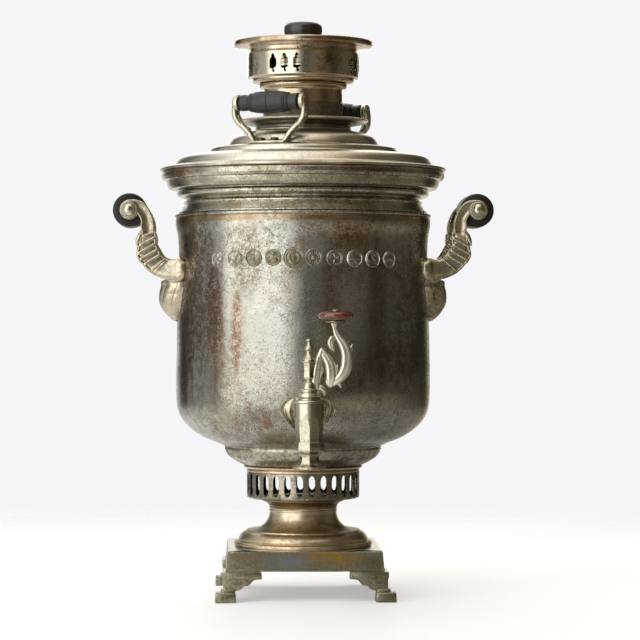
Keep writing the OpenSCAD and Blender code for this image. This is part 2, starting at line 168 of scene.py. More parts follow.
def material(name):
    m = bpy.data.materials.new(name)
    m.use_nodes = True
    t = Tree(m.node_tree)
    out = t.new("ShaderNodeOutputMaterial")
    bsdf = t.new("ShaderNodeBsdfPrincipled")
    t.t.links.new(bsdf.outputs[0], out.inputs[0])
    pos = t.new("ShaderNodeTexCoord").outputs["Object"]
    return m, t, bsdf, pos


def aged_metal(name, silver, tarnish, copper, dark=(0.03, 0.026, 0.02), tarn=(0.50, 0.66), cop=(0.62, 0.72),
               pits=(0.60, 0.67), pit_scale=520.0, rough=(0.26, 0.5), streaky=0.16, bands=(), patches=(),
               green=0.0, bump=0.12, seed=0.0, edge=0.0, cavity=0.0, speck=0.45, fs=300.0, ms=70.0, hue=0.0, top_polish_and_painted_sheen=0.0, painted_inner_shade=None, shade=None):
    """Old plated brass: mottled, streaked and pitted. bands: (low z, high z, softness, colour, strength) in metres.
    patches: (x, z, half width, half height, colour, strength), seen from the front."""
    m, t, b, pos = material(name)
    p = t.vec(pos, loc=(seed, seed * 1.7, seed * 0.6))
    ps = t.vec(pos, scale=(1, 1, streaky), loc=(seed * 2.1, seed, 0))
    x, y, z = t.xyz(pos)
    big = t.noise(p, 11.0, 3, 0.5)
    med = t.noise(p, ms, 6, 0.62, dist=0.25)
    fine = t.noise(p, fs, 5, 0.62)
    run = t.noise(ps, 60.0, 5, 0.62, dist=0.15)
    grain = t.noise(p, pit_scale, 3, 0.55)
    blend = t.add(t.add(t.mul(big, 0.45), t.mul(med, 0.35)), t.mul(run, 0.2))
    mt = t.step(t.add(blend, t.mul(t.sub(fine, 0.5), 0.22)), tarn[0], tarn[1])
    col = t.mix(mt, silver, tarnish)
    # small change of tone all over
    col = t.mix(t.mul(t.step(fine, 0.40, 0.66, 0.0, speck), t.step(t.add(t.mul(med, 0.6), t.mul(big, 0.4)), 0.36, 0.6, 0.45, 1.0)), col,
                tuple(c * 0.42 for c in tarnish))
    if hue:
        hn = t.noise(t.vec(p, loc=(7, 2, 5)), 26.0, 4, 0.6)
        col = t.mix(t.step(hn, 0.52, 0.64, 0.0, hue), col, (silver[0] * 1.0, silver[1] * 0.90, silver[2] * 0.84))
        col = t.mix(t.step(hn, 0.48, 0.36, 0.0, hue), col, (silver[0] * 0.86, silver[1] * 0.95, silver[2] * 0.84))
    col = t.mix(t.step(t.noise(p, 95.0, 4, 0.6), 0.5, 0.7, 0.0, 0.35), col, tuple(c * g for c, g in zip(silver, (0.80, 0.84, 0.78))))
    mc = t.step(t.add(t.mul(run, 0.72), t.mul(big, 0.28)), cop[0], cop[1])
    mc = t.mul(mc, t.step(fine, 0.3, 0.6, 0.55, 1.0))
    col = t.mix(mc, col, copper)
    for lo, hi, soft, c, s in bands:
        k = t.box(t.add(z, t.mul(t.sub(med, 0.5), soft * 2.4)), lo, hi, soft)
        k = t.mul(k, t.step(t.noise(t.vec(pos, loc=(lo * 9, 3, 1)), 38.0, 4, 0.6), 0.5 - 0.28 * s, 0.62, (0.15 if s < 1 else 0.62) * s, s))
        col = t.mix(k, col, c)
    for px, pz, rx, rz, c, s in patches:
        dx = t.math("DIVIDE", t.sub(x, px), rx)
        dz = t.math("DIVIDE", t.sub(z, pz), rz)
        d = t.math("SQRT", t.add(t.mul(dx, dx), t.mul(dz, dz)))
        d = t.add(d, t.mul(t.sub(t.add(t.mul(run, 0.65), t.mul(fine, 0.35)), 0.5), 3.4))
        k = t.mul(t.step(d, 0.35, 1.25, 1.0, 0.0), t.step(y, -0.02, 0.03, 1.0, 0.0))
        k = t.mul(k, t.step(t.add(t.mul(fine, 0.55), t.mul(med, 0.45)), 0.40, 0.56, 0.22, 1.0))
        col = t.mix(t.mul(k, s), col, c)
    if green:
        g = t.step(t.add(t.mul(med, 0.6), t.mul(fine, 0.4)), 0.5, 0.64)
        col = t.mix(t.mul(g, green), col, (0.26, 0.27, 0.17))
    mp = t.step(grain, pits[0], pits[1])
    mp = t.mul(mp, t.step(t.add(t.mul(big, 0.5), t.mul(med, 0.5)), 0.38, 0.6, 0.12, 1.0))
    col = t.mix(t.mul(mp, 0.85), col, dark)
    if edge or cavity:
        geo = t.new("ShaderNodeNewGeometry").outputs["Pointiness"]
        # hollows (low pointiness) are darkened: grime together with painted shade, as ambient occlusion would give
        if cavity:
            col = t.mix(t.mul(t.step(geo, 0.40, 0.495, 1.0, 0.0), cavity), col, dark)
        if edge:
            col = t.mix(t.mul(t.step(geo, 0.515, 0.58), edge), col, tuple(min(0.95, c * 1.35) for c in silver))
    if shade:       # painted shade: darker to the right of x, in front of y, for the shaded right half of the tap
        k = t.mul(t.step(x, shade[0], shade[0] + 0.0015), t.step(y, shade[1] - 0.002, shade[1], 1.0, 0.0))
        col = t.mix(t.mul(k, shade[3]), col, shade[2])
    if painted_inner_shade:        # painted shade: near-black inside the given radius, the hollow inside the ring
        rad = t.math("SQRT", t.add(t.mul(x, x), t.mul(y, y)))
        col = t.mix(t.step(rad, painted_inner_shade[0], painted_inner_shade[1], 1.0, 0.0), col, (0.012, 0.010, 0.007))
    up = None
    if top_polish_and_painted_sheen:    # faces that look up are smoother and get a painted pale sheen, for the bright surroundings they reflect
        nz = t.xyz(t.new("ShaderNodeNewGeometry").outputs["Normal"])[2]
        up = t.step(nz, 0.85, 0.97)
        col = t.mix(t.mul(up, top_polish_and_painted_sheen), col, t.mix(t.step(t.add(t.mul(fine, 0.5), t.mul(med, 0.5)), 0.46, 0.58), (0.86, 0.845, 0.80), (0.72, 0.70, 0.63)))
    t.put(b.inputs["Base Color"], col)
    b.inputs["Metallic"].default_value = 1.0
    r = t.mixf(mt, rough[0], rough[1])
    r = t.add(r, t.mul(t.sub(fine, 0.5), 0.25))
    r = t.add(r, t.mul(mp, 0.22))
    if up is not None:
        r = t.mixf(t.mul(up, 0.85), r, 0.10)
    t.put(b.inputs["Roughness"], r)
    h = t.add(t.add(t.mul(mp, -0.5), t.mul(fine, 0.5)), t.mul(med, 0.6))
    t.put(b.inputs["Normal"], t.bump(h, bump, 0.0012))
    return m


def turned_wood(name, base, light, rough, axis, coat=0.3, spec=0.5, gloss=0.22):
    """Stained turned wood with grain along the piece and fine turning rings."""
    m, t, b, pos = material(name)
    sc = {"x": (0.12, 1, 1), "y": (1, 0.12, 1), "z": (1, 1, 0.12)}[axis]
    g = t.noise(t.vec(pos, scale=sc), 420.0, 6, 0.6, dist=0.6)
    w = t.noise(pos, 60.0, 3, 0.5)
    ring = t.noise(t.vec(pos, scale={"x": (1, .02, .02), "y": (.02, 1, .02), "z": (.02, .02, 1)}[axis]), 1500.0, 2, 0.5)
    col = t.mix(t.step(t.add(t.mul(g, 0.7), t.mul(w, 0.3)), 0.36, 0.7), base, light)
    scuff = t.step(t.noise(pos, 230.0, 5, 0.65), 0.62, 0.72)
    col = t.mix(t.mul(scuff, 0.35), col, tuple(min(1, c * 2.4 + 0.03) for c in light))
    t.put(b.inputs["Base Color"], col)
    t.put(b.inputs["Roughness"], t.add(t.mixf(g, rough - 0.08, rough + 0.12), t.mul(scuff, 0.15)))
    b.inputs["Coat Weight"].default_value = coat
    b.inputs["Specular IOR Level"].default_value = spec
    b.inputs["Coat Roughness"].default_value = gloss
    t.put(b.inputs["Normal"], t.bump(t.add(t.mul(g, 0.6), t.mul(ring, 0.4)), 0.25, 0.0006))
    return m


# ------------------------------------------------------------------ materials
SILVER = (0.565, 0.555, 0.495)
WARM = (0.60, 0.53, 0.41)
PALE = (0.70, 0.665, 0.57)
BROWN = (0.20, 0.13, 0.07)
COPPER = (0.27, 0.125, 0.06)
ORANGE = (0.36, 0.20, 0.075)
OLIVE = (0.24, 0.225, 0.15)

M_wall = aged_metal("nickel_wall", SILVER, (0.25, 0.21, 0.145), COPPER, tarn=(0.43, 0.66), cop=(0.575, 0.68),
                    pits=(0.585, 0.635), pit_scale=820.0, rough=(0.24, 0.40), speck=0.55, fs=680.0, ms=170.0, hue=0.5,
                    bands=[(0.3545, 0.3605, 0.0012, (0.37, 0.235, 0.10), 0.8), (0.146, 0.158, 0.006, (0.20, 0.17, 0.115), 0.6),
                           (0.175, 0.295, 0.02, (0.37, 0.365, 0.305), 0.7)],
                    patches=[(0.044, 0.340, 0.024, 0.020, (0.21, 0.10, 0.03), 0.95),
                             (-0.085, 0.270, 0.009, 0.066, (0.17, 0.072, 0.032), 0.95),
                             (-0.064, 0.262, 0.007, 0.046, (0.19, 0.085, 0.042), 0.85),
                             (-0.112, 0.27, 0.011, 0.11, (0.15, 0.07, 0.032), 0.95),
                             (-0.099, 0.28, 0.022, 0.10, (0.12, 0.08, 0.05), 0.95),
                             (-0.078, 0.20, 0.022, 0.035, (0.22, 0.17, 0.12), 0.6),
                             (-0.055, 0.318, 0.014, 0.040, (0.17, 0.125, 0.08), 0.75),
                             # painted reflection: the pale strip at x 0.066, z 0.188 beside the tap
                             (0.066, 0.188, 0.050, 0.008, (0.78, 0.75, 0.63), 0.95),
                             (0.078, 0.225, 0.040, 0.022, (0.13, 0.10, 0.065), 0.75),
                             (0.032, 0.205, 0.020, 0.016, (0.13, 0.095, 0.065), 0.8),
                             (0.022, 0.285, 0.012, 0.050, (0.16, 0.10, 0.06), 0.8),
                             (0.050, 0.285, 0.012, 0.040, (0.55, 0.53, 0.45), 0.5),
                             (0.066, 0.270, 0.010, 0.085, (0.15, 0.095, 0.055), 0.7),
                             (0.095, 0.25, 0.02, 0.10, (0.13, 0.095, 0.06), 0.65),
                             (-0.042, 0.180, 0.014, 0.010, (0.19, 0.13, 0.11), 0.8)], bump=0.09)
# nickel_lid's band at 0.4465 to 0.4512 is painted shade on the collar's neck under its flange disc
M_lid = aged_metal("nickel_lid", (0.76, 0.71, 0.60), (0.48, 0.40, 0.27), (0.30, 0.2, 0.1), tarn=(0.53, 0.72), cop=(0.64, 0.77),
                   pits=(0.66, 0.73), rough=(0.33, 0.43), streaky=1.0, bump=0.05, seed=3.1, speck=0.22,
                   bands=[(0.404, 0.4085, 0.001, (0.22, 0.15, 0.07), 0.6), (0.425, 0.430, 0.001, (0.35, 0.26, 0.14), 0.6),
                          (0.4465, 0.4512, 0.0006, (0.10, 0.075, 0.045), 1.0)])
M_rim = aged_metal("nickel_rim", (0.70, 0.67, 0.56), (0.30, 0.26, 0.175), COPPER, tarn=(0.48, 0.64), cop=(0.66, 0.74),
                   rough=(0.22, 0.38), streaky=1.0, green=0.22, bump=0.2, seed=5.7, speck=0.5, fs=620.0, pit_scale=800.0,
                   bands=[(0.3968, 0.4025, 0.0006, (0.24, 0.15, 0.08), 0.4), (0.3855, 0.3945, 0.001, (0.30, 0.285, 0.19), 0.75),
                          (0.3752, 0.3785, 0.0008, (0.13, 0.10, 0.06), 0.85), (0.3665, 0.3715, 0.001, (0.32, 0.22, 0.11), 0.5)],
                   patches=[(-0.118, 0.400, 0.026, 0.0045, (0.22, 0.10, 0.045), 0.95), (0.060, 0.400, 0.038, 0.0040, (0.20, 0.085, 0.035), 0.95)])
# the inside of the air ring is painted near-black as shade, seen through the slots
M_gallery = aged_metal("nickel_ring", (0.40, 0.365, 0.285), (0.16, 0.13, 0.08), (0.24, 0.16, 0.08), rough=(0.26, 0.46), seed=8.2,
                       streaky=0.5, bump=0.15, speck=0.5, painted_inner_shade=(0.0528, 0.0533))
M_bowl = aged_metal("nickel_bowl", (0.50, 0.465, 0.375), (0.20, 0.16, 0.095), (0.30, 0.18, 0.09), tarn=(0.44, 0.6), rough=(0.28, 0.46),
                    seed=9.4, streaky=1.0, bump=0.2, pits=(0.58, 0.66), speck=0.6)
# gilt_brass's dark band at 0.0822 to 0.0905 is painted shade on the cup's flare under the air ring
M_bronze = aged_metal("gilt_brass", (0.76, 0.635, 0.44), (0.44, 0.325, 0.185), (0.26, 0.16, 0.075), tarn=(0.50, 0.72), cop=(0.66, 0.78),
                      pits=(0.68, 0.75), rough=(0.33, 0.44), streaky=1.0, bump=0.05, seed=11.3, speck=0.22,
                      bands=[(0.0822, 0.0905, 0.0008, (0.17, 0.115, 0.055), 1.0), (0.0780, 0.0812, 0.0005, (0.66, 0.60, 0.46), 1.0)])
# olive_brass: the up-facing faces get a painted pale sheen for the bright surroundings they reflect
M_base = aged_metal("olive_brass", (0.39, 0.355, 0.25), (0.23, 0.20, 0.12), (0.34, 0.24, 0.11), tarn=(0.42, 0.66), cop=(0.62, 0.72),
                    pits=(0.66, 0.74), rough=(0.30, 0.5), streaky=4.0, bump=0.16, seed=13.9, speck=0.6, ms=110.0, fs=420.0, top_polish_and_painted_sheen=0.95,
                    patches=[(0.022, 0.042, 0.034, 0.008, (0.42, 0.25, 0.06), 1.0), (-0.018, 0.037, 0.028, 0.009, (0.22, 0.25, 0.25), 0.9),
                             (0.062, 0.034, 0.012, 0.008, (0.17, 0.145, 0.085), 0.8)])
# pale_cast carries painted shade on the right half of the tap's barrel and finial
M_cast = aged_metal("pale_cast", (0.64, 0.60, 0.48), (0.38, 0.32, 0.19), (0.30, 0.24, 0.12), tarn=(0.46, 0.66), cop=(0.64, 0.76), pits=(0.62, 0.7),
                    pit_scale=700.0, rough=(0.24, 0.4), streaky=1.0, bump=0.07, seed=17.0, edge=0.4, cavity=0.85, speck=0.15,
                    shade=(0.0006, -0.146, (0.24, 0.215, 0.135), 0.65))
M_vine = aged_metal("worn_cast", (0.82, 0.78, 0.65), (0.50, 0.43, 0.28), (0.34, 0.27, 0.15), tarn=(0.50, 0.68), cop=(0.66, 0.78), pits=(0.64, 0.72),
                    pit_scale=700.0, rough=(0.30, 0.42), streaky=1.0, bump=0.06, seed=18.2, edge=0.35, cavity=0.9, speck=0.15)
M_medal = aged_metal("nickel_medals", (0.56, 0.55, 0.48), (0.20, 0.165, 0.105), COPPER, tarn=(0.42, 0.6), cop=(0.62, 0.72), pit_scale=900.0,
                     rough=(0.26, 0.42), bump=0.08, seed=2.4, edge=0.45, cavity=0.95, speck=0.5)
M_handle = aged_metal("gold_cast", (0.60, 0.54, 0.41), (0.36, 0.29, 0.17), (0.22, 0.16, 0.07), tarn=(0.46, 0.66), cop=(0.6, 0.72),
                      pits=(0.62, 0.7), pit_scale=700.0, rough=(0.26, 0.42), streaky=1.0, bump=0.12, seed=19.5, edge=0.5,
                      cavity=0.9, dark=(0.035, 0.028, 0.016))
# nickel_crown's band at 0.5165 to 0.5215 is painted shade on the neck under the flange
M_crown = aged_metal("nickel_crown", (0.74, 0.68, 0.54), (0.48, 0.35, 0.21), (0.36, 0.18, 0.08), tarn=(0.47, 0.66), cop=(0.56, 0.68),
                     rough=(0.20, 0.34), streaky=0.6, bump=0.06, seed=23.6, speck=0.35,
                     bands=[(0.5225, 0.5300, 0.0008, (0.33, 0.20, 0.105), 0.85), (0.5165, 0.5215, 0.0006, (0.42, 0.31, 0.18), 0.6),
                            (0.470, 0.4935, 0.0008, (0.44, 0.31, 0.165), 0.75)],
                     patches=[(-0.050, 0.507, 0.009, 0.014, (0.25, 0.105, 0.045), 0.95), (0.024, 0.507, 0.014, 0.014, (0.27, 0.12, 0.055), 0.9)])
M_tube = aged_metal("sooty_brass", (0.30, 0.25, 0.17), (0.10, 0.085, 0.065), (0.2, 0.12, 0.06), rough=(0.4, 0.65), seed=29.0,
                    streaky=0.5, bump=0.25)
M_steel = aged_metal("dull_steel", (0.36, 0.34, 0.31), (0.16, 0.13, 0.10), (0.22, 0.12, 0.06), rough=(0.34, 0.55), seed=31.0,
                     streaky=1.0, bump=0.1, pit_scale=900.0)
M_ebony = turned_wood("ebonised_wood", (0.012, 0.011, 0.011), (0.03, 0.028, 0.027), 0.40, "y", 0.0, 0.3)
M_ebony_x = turned_wood("ebonised_lid_wood", (0.011, 0.011, 0.012), (0.028, 0.027, 0.028), 0.38, "x", 0.25, 0.45)
M_screw = aged_metal("dark_screw", (0.13, 0.115, 0.095), (0.06, 0.05, 0.04), (0.12, 0.07, 0.04), rough=(0.35, 0.55), seed=33.0, streaky=1.0, bump=0.1,
                     pit_scale=900.0)
M_walnut = turned_wood("dark_knob_wood", (0.014, 0.009, 0.007), (0.038, 0.021, 0.014), 0.3, "x", 0.5)
M_cherry = turned_wood("red_knob_wood", (0.055, 0.012, 0.006), (0.22, 0.05, 0.018), 0.25, "x", 1.0, 0.6, 0.07)

m, t, b, pos = material("cast_iron")
n1 = t.noise(pos, 420.0, 6, 0.65)
n2 = t.noise(pos, 40.0, 4, 0.6)
t.put(b.inputs["Base Color"], t.mix(t.step(n2, 0.4, 0.7), (0.028, 0.026, 0.024), (0.10, 0.055, 0.03)))
b.inputs["Metallic"].default_value = 0.6
t.put(b.inputs["Roughness"], t.mixf(n1, 0.6, 0.9))
t.put(b.inputs["Normal"], t.bump(n1, 0.6, 0.001))
M_iron = m

# ------------------------------------------------------------------ mesh tools, in millimetres
def spline(ctrl, per=8):
    """Smooth curve through (r, z) points; a third value marks a corner."""
    runs, cur = [], []
    for p in ctrl:
        cur.append(Vector(p[:2]))
        if len(p) > 2 and len(cur) > 1:
            runs.append(cur)
            cur = [Vector(p[:2])]
    if len(cur) > 1:
        runs.append(cur)
    out = []
    for run in runs:
        pts = smooth_run(run, per)
        out += pts if not out else pts[1:]
    return out


def smooth_run(run, per):
    n = len(run)
    if n == 2:
        return [run[0].copy(), run[1].copy()]
    d = [max(1e-6, (run[i + 1] - run[i]).length) for i in range(n - 1)]
    tan = []
    for i in range(n):
        if i == 0:
            tan.append((run[1] - run[0]) / d[0])
        elif i == n - 1:
            tan.append((run[-1] - run[-2]) / d[-1])
        else:
            a, c = (run[i] - run[i - 1]) / d[i - 1], (run[i + 1] - run[i]) / d[i]
            tan.append((a * d[i] + c * d[i - 1]) / (d[i] + d[i - 1]))
    out = [run[0].copy()]
    for i in range(n - 1):
        for k in range(1, per + 1):
            s = k / per
            h1, h2 = 2 * s**3 - 3 * s**2 + 1, s**3 - 2 * s**2 + s
            h3, h4 = -2 * s**3 + 3 * s**2, s**3 - s**2
            out.append(run[i] * h1 + tan[i] * (h2 * d[i]) + run[i + 1] * h3 + tan[i + 1] * (h4 * d[i]))
    return out


def inset(p, t):
    """The path p moved to its left by t."""
    out = []
    n = len(p)
    for i in range(n):
        a = p[i] - p[i - 1] if i else p[1] - p[0]
        c = p[i + 1] - p[i] if i < n - 1 else a
        a, c = a.normalized(), c.normalized()
        na, nc = Vector((-a.y, a.x)), Vector((-c.y, c.x))
        m = (na + nc)
        m = m.normalized() if m.length > 1e-6 else na
        out.append(p[i] + m * (t / max(0.55, m.dot(na))))
    return out


def sheet_loop(p, t):
    return list(p) + list(reversed(inset(p, t)))


def finish_mesh(name, verts, faces, mat, body, slot, nodes=(), sharp=34, place=None, weld=0.0, smooth=True):
    me = bpy.data.meshes.new(name)
    bm = bmesh.new()
    vs = [bm.verts.new(v) for v in verts]
    for f in faces:
        if len(set(f)) > 2:
            try:
                bm.faces.new([vs[i] for i in dict.fromkeys(f)])
            except ValueError:
                pass
    return finish_bm(name, bm, mat, body, nodes, sharp, place, weld, smooth)


def finish_bm(name, bm, mat, body, nodes=(), sharp=34, place=None, weld=0.0, smooth=True):
    if weld:
        bmesh.ops.remove_doubles(bm, verts=bm.verts, dist=weld)
    bmesh.ops.recalc_face_normals(bm, faces=bm.faces)
    if place is not None:
        bm.transform(place)
        if place.determinant() < 0:
            bmesh.ops.reverse_faces(bm, faces=bm.faces)
    bm.transform(Matrix.Scale(0.001, 4))
    me = bpy.data.meshes.new(name)
    for f in bm.faces:
        f.smooth = smooth
    bm.to_mesh(me)
    bm.free()
    if smooth:
        me.set_sharp_from_angle(angle=math.radians(sharp))
    o = bpy.data.objects.new(name, me)
    bpy.context.scene.collection.objects.link(o)
    me.materials.append(mat)
    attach(o, body)
    if nodes:
        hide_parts(*nodes)
    return o


def add_lathe(bm, loop, seg=160, warp=None, frame=None):
    """Revolves the closed (r, z) loop into bm."""
    rings = []
    for p in loop:
        if p[0] < 1e-4:
            co = Vector((0, 0, p[1]))
            rings.append([bm.verts.new(frame @ co if frame else co)])
        else:
            ring = []
            for i in range(seg):
                a = 2 * math.pi * i / seg
                r, z = p[0], p[1]
                if warp:
                    r, z = warp(r, z, a)
                co = Vector((r * math.cos(a), r * math.sin(a), z))
                ring.append(bm.verts.new(frame @ co if frame else co))
            rings.append(ring)
    n = len(rings)
    for i in range(n):
        a, c = rings[i], rings[(i + 1) % n]
        if len(a) == 1 and len(c) == 1:
            continue
        for k in range(seg):
            k2 = (k + 1) % seg
            if len(a) == 1:
                bm.faces.new((a[0], c[k2], c[k]))
            elif len(c) == 1:
                bm.faces.new((a[k], a[k2], c[0]))
            else:
                bm.faces.new((a[k], a[k2], c[k2], c[k]))


def lathe(name, loop, mat, body, nodes=(), seg=160, warp=None, place=None, sharp=34):
    bm = bmesh.new()
    add_lathe(bm, [Vector(p[:2]) for p in loop], seg, warp)
    return finish_bm(name, bm, mat, body, nodes, sharp, place)


def wobble(amount, freq=0.02, lobes=0.0):
    """Hand-spun unevenness: a slow noise on the radius."""
    def f(r, z, a):
        v = Vector((math.cos(a) * r * freq, math.sin(a) * r * freq, z * freq))
        return r + amount * noise.noise(v) + amount * 0.45 * noise.noise(v * 3.1 + Vector((5, 1, 2))) + lobes * math.cos(2 * a + 0.6), z
    return f


def section(hw, ht, n=24, p=2.6):
    out = []
    for i in range(n):
        a = 2 * math.pi * i / n
        c, s = math.cos(a), math.sin(a)
        out.append((hw * math.copysign(abs(c) ** (2 / p), c), ht * math.copysign(abs(s) ** (2 / p), s)))
    return out


def cr(vals, u):
    """Catmull-Rom on a list of numbers or vectors, u from 0 to len-1."""
    n = len(vals)
    i = min(int(u), n - 2)
    s = u - i
    p1, p2 = vals[i], vals[i + 1]
    p0 = vals[i - 1] if i > 0 else p1 * 2 - p2
    p3 = vals[i + 2] if i < n - 2 else p2 * 2 - p1
    return (p1 * 2 + (p2 - p0) * s + (p0 * 2 - p1 * 5 + p2 * 4 - p3) * s**2 + (p1 * 3 - p0 - p2 * 3 + p3) * s**3) * 0.5


def add_sweep(bm, stations, sub=6, n=24, p=2.6, mod=None, cap=3):
    """stations: (centre, half width vector, half thickness vector). mod(u, angle) scales the section; rounded ends."""
    C = [Vector(s[0]) for s in stations]
    A = [Vector(s[1]) for s in stations]
    B = [Vector(s[2]) for s in stations]
    steps = (len(stations) - 1) * sub
    rings = []
    for k in range(steps + 1):
        u = k / sub
        c, a, b2 = cr(C, u), cr(A, u), cr(B, u)
        e = 1.0
        ring = []
        for i in range(n):
            t = 2 * math.pi * i / n
            cc, ss = math.cos(t), math.sin(t)
            x = math.copysign(abs(cc) ** (2 / p), cc)
            y = math.copysign(abs(ss) ** (2 / p), ss)
            mx, my = mod(u, t) if mod else (1, 1)
            ring.append(bm.verts.new(c + a * (x * mx * e) + b2 * (y * my * e)))
        rings.append(ring)
    for a, c in zip(rings, rings[1:]):
        for k in range(n):
            k2 = (k + 1) % n
            bm.faces.new((a[k], a[k2], c[k2], c[k]))
    for ring, c0, sgn in ((rings[0], C[0], -1), (rings[-1], C[-1], 1)):
        nxt = cr(C, 0.05) if sgn < 0 else cr(C, len(C) - 1.05)
        d = (c0 - nxt).normalized()
        r0 = min((v.co - c0).length for v in ring)
        prev = ring
        for j in range(1, cap + 1):
            f = math.cos(j / (cap + 1) * math.pi / 2)
            h = math.sin(j / (cap + 1) * math.pi / 2) * r0 * 0.8
            new = [bm.verts.new(c0 + (v.co - c0) * f + d * h) for v in ring]
            for k in range(n):
                bm.faces.new((prev[k], prev[(k + 1) % n], new[(k + 1) % n], new[k]))
            prev = new
        tip = bm.verts.new(c0 + d * r0 * 0.8)
        for k in range(n):
            bm.faces.new((prev[k], prev[(k + 1) % n], tip))
    return rings


def tube_stations(path, radii, flat=1.0, normal=Vector((0, 1, 0))):
    """Stations for a round or flattened tube in a plane whose normal is given."""
    P = [Vector(p) for p in path]
    out = []
    for i, q in enumerate(P):
        d = (P[min(i + 1, len(P) - 1)] - P[max(i - 1, 0)]).normalized()
        side = d.cross(normal).normalized()
        r = radii[i]
        out.append((q, side * r, normal * r * flat))
    return out


def add_box(bm, lo, hi, bevel=0.6, seg=2, top=None, mat4=None):
    """Box with bevelled edges; top = (x, y) inset of the upper face."""
    x0, y0, z0 = lo
    x1, y1, z1 = hi
    tx, ty = top or (0, 0)
    co = [(x0, y0, z0), (x1, y0, z0), (x1, y1, z0), (x0, y1, z0),
          (x0 + tx, y0 + ty, z1), (x1 - tx, y0 + ty, z1), (x1 - tx, y1 - ty, z1), (x0 + tx, y1 - ty, z1)]
    tmp = bmesh.new()
    v = [tmp.verts.new(c) for c in co]
    for f in ((0, 3, 2, 1), (4, 5, 6, 7), (0, 1, 5, 4), (1, 2, 6, 5), (2, 3, 7, 6), (3, 0, 4, 7)):
        tmp.faces.new([v[i] for i in f])
    if bevel:
        bmesh.ops.bevel(tmp, geom=tmp.edges[:], offset=bevel, segments=seg, profile=0.5, affect="EDGES")
    if mat4 is not None:
        tmp.transform(mat4)
    merge(bm, tmp)


def merge(bm, tmp):
    me = bpy.data.meshes.new("tmp")
    tmp.to_mesh(me)
    tmp.free()
    bm.from_mesh(me)
    bpy.data.meshes.remove(me)


def add_prism(bm, outline, y0, y1, bevel=0.8, seg=3, axis="y"):
    """Outline in (x, z), extruded along Y from y0 to y1, edges of both faces rounded."""
    tmp = bmesh.new()
    vs = [tmp.verts.new((p[0], y0, p[1])) for p in outline]
    f = tmp.faces.new(vs)
    r = bmesh.ops.extrude_face_region(tmp, geom=[f])
    up = [g for g in r["geom"] if isinstance(g, bmesh.types.BMVert)]
    bmesh.ops.translate(tmp, verts=up, vec=(0, y1 - y0, 0))
    bmesh.ops.recalc_face_normals(tmp, faces=tmp.faces)
    if bevel:
        rim = [e for e in tmp.edges if abs(e.verts[0].co.y - e.verts[1].co.y) < 1e-6]
        bmesh.ops.bevel(tmp, geom=rim, offset=bevel, segments=seg, profile=0.5, affect="EDGES", clamp_overlap=True)
    bmesh.ops.triangulate(tmp, faces=[f for f in tmp.faces if len(f.verts) > 4])
    merge(bm, tmp)


def pierced_band(bm, Ro, Ri, z0, z1, panels, rows=14, cols=6, rings=3):
    """A cylinder wall made of panels (centre angle, angular width, hole outline or None) as one closed skin."""
    def rect(w):
        pts = []
        for k in range(cols):
            pts.append((-w / 2 + w * k / cols, z0))
        for k in range(rows):
            pts.append((w / 2, z0 + (z1 - z0) * k / rows))
        for k in range(cols):
            pts.append((w / 2 - w * k / cols, z1))
        for k in range(rows):
            pts.append((-w / 2, z1 - (z1 - z0) * k / rows))
        return pts

    def wrap(u, z, a0, R):
        a = a0 + u / Ro
        return (R * math.sin(a), -R * math.cos(a), z)

    for a0, da, hole in panels:
        w = Ro * da
        if hole is None:
            for R in (Ro, Ri):
                grid = [[bm.verts.new(wrap(-w / 2 + w * i / cols, z0 + (z1 - z0) * j / rows, a0, R)) for i in range(cols + 1)]
                        for j in range(rows + 1)]
                for j in range(rows):
                    for i in range(cols):
                        bm.faces.new((grid[j][i], grid[j][i + 1], grid[j + 1][i + 1], grid[j + 1][i]))
        else:
            outer = rect(w)
            n = len(outer)
            cz = sum(h[1] for h in hole) / len(hole)
            # hole points at the same bearing as the rectangle's points, by share of the way round
            def bearing(p):
                return math.atan2((p[1] - cz) / (z1 - z0), p[0] / w)
            start = min(range(len(hole)), key=lambda i: abs(math.remainder(bearing(hole[i]) - bearing(outer[0]), 2 * math.pi)))
            h = hole[start:] + hole[:start]
            L = [0.0]
            for i in range(len(h)):
                p, q = h[i], h[(i + 1) % len(h)]
                L.append(L[-1] + math.dist(p, q))
            inner = []
            for k in range(n):
                s = L[-1] * k / n
                i = max(j for j in range(len(h)) if L[j] <= s + 1e-9)
                f = (s - L[i]) / max(1e-9, L[i + 1] - L[i])
                p, q = h[i], h[(i + 1) % len(h)]
                inner.append((p[0] + (q[0] - p[0]) * f, p[1] + (q[1] - p[1]) * f))
            holes = []
            for R in (Ro, Ri):
                prev = [bm.verts.new(wrap(p[0], p[1], a0, R)) for p in outer]
                for j in range(1, rings + 1):
                    f = j / rings
                    cur = [bm.verts.new(wrap(o[0] + (q[0] - o[0]) * f, o[1] + (q[1] - o[1]) * f, a0, R)) for o, q in zip(outer, inner)]
                    for k in range(n):
                        bm.faces.new((prev[k], prev[(k + 1) % n], cur[(k + 1) % n], cur[k]))
                    prev = cur
                holes.append(prev)
            for k in range(n):
                bm.faces.new((holes[0][k], holes[0][(k + 1) % n], holes[1][(k + 1) % n], holes[1][k]))
        for zz in (z0, z1):
            a = [bm.verts.new(wrap(-w / 2 + w * i / cols, zz, a0, Ro)) for i in range(cols + 1)]
            c = [bm.verts.new(wrap(-w / 2 + w * i / cols, zz, a0, Ri)) for i in range(cols + 1)]
            for i in range(cols):
                bm.faces.new((a[i], a[i + 1], c[i + 1], c[i]))
    bmesh.ops.remove_doubles(bm, verts=bm.verts, dist=0.01)


def arc(cx, cz, r, a0, a1, n):
    return [(cx + r * math.cos(math.radians(a0 + (a1 - a0) * i / n)), cz + r * math.sin(math.radians(a0 + (a1 - a0) * i / n)))
            for i in range(n + 1)]


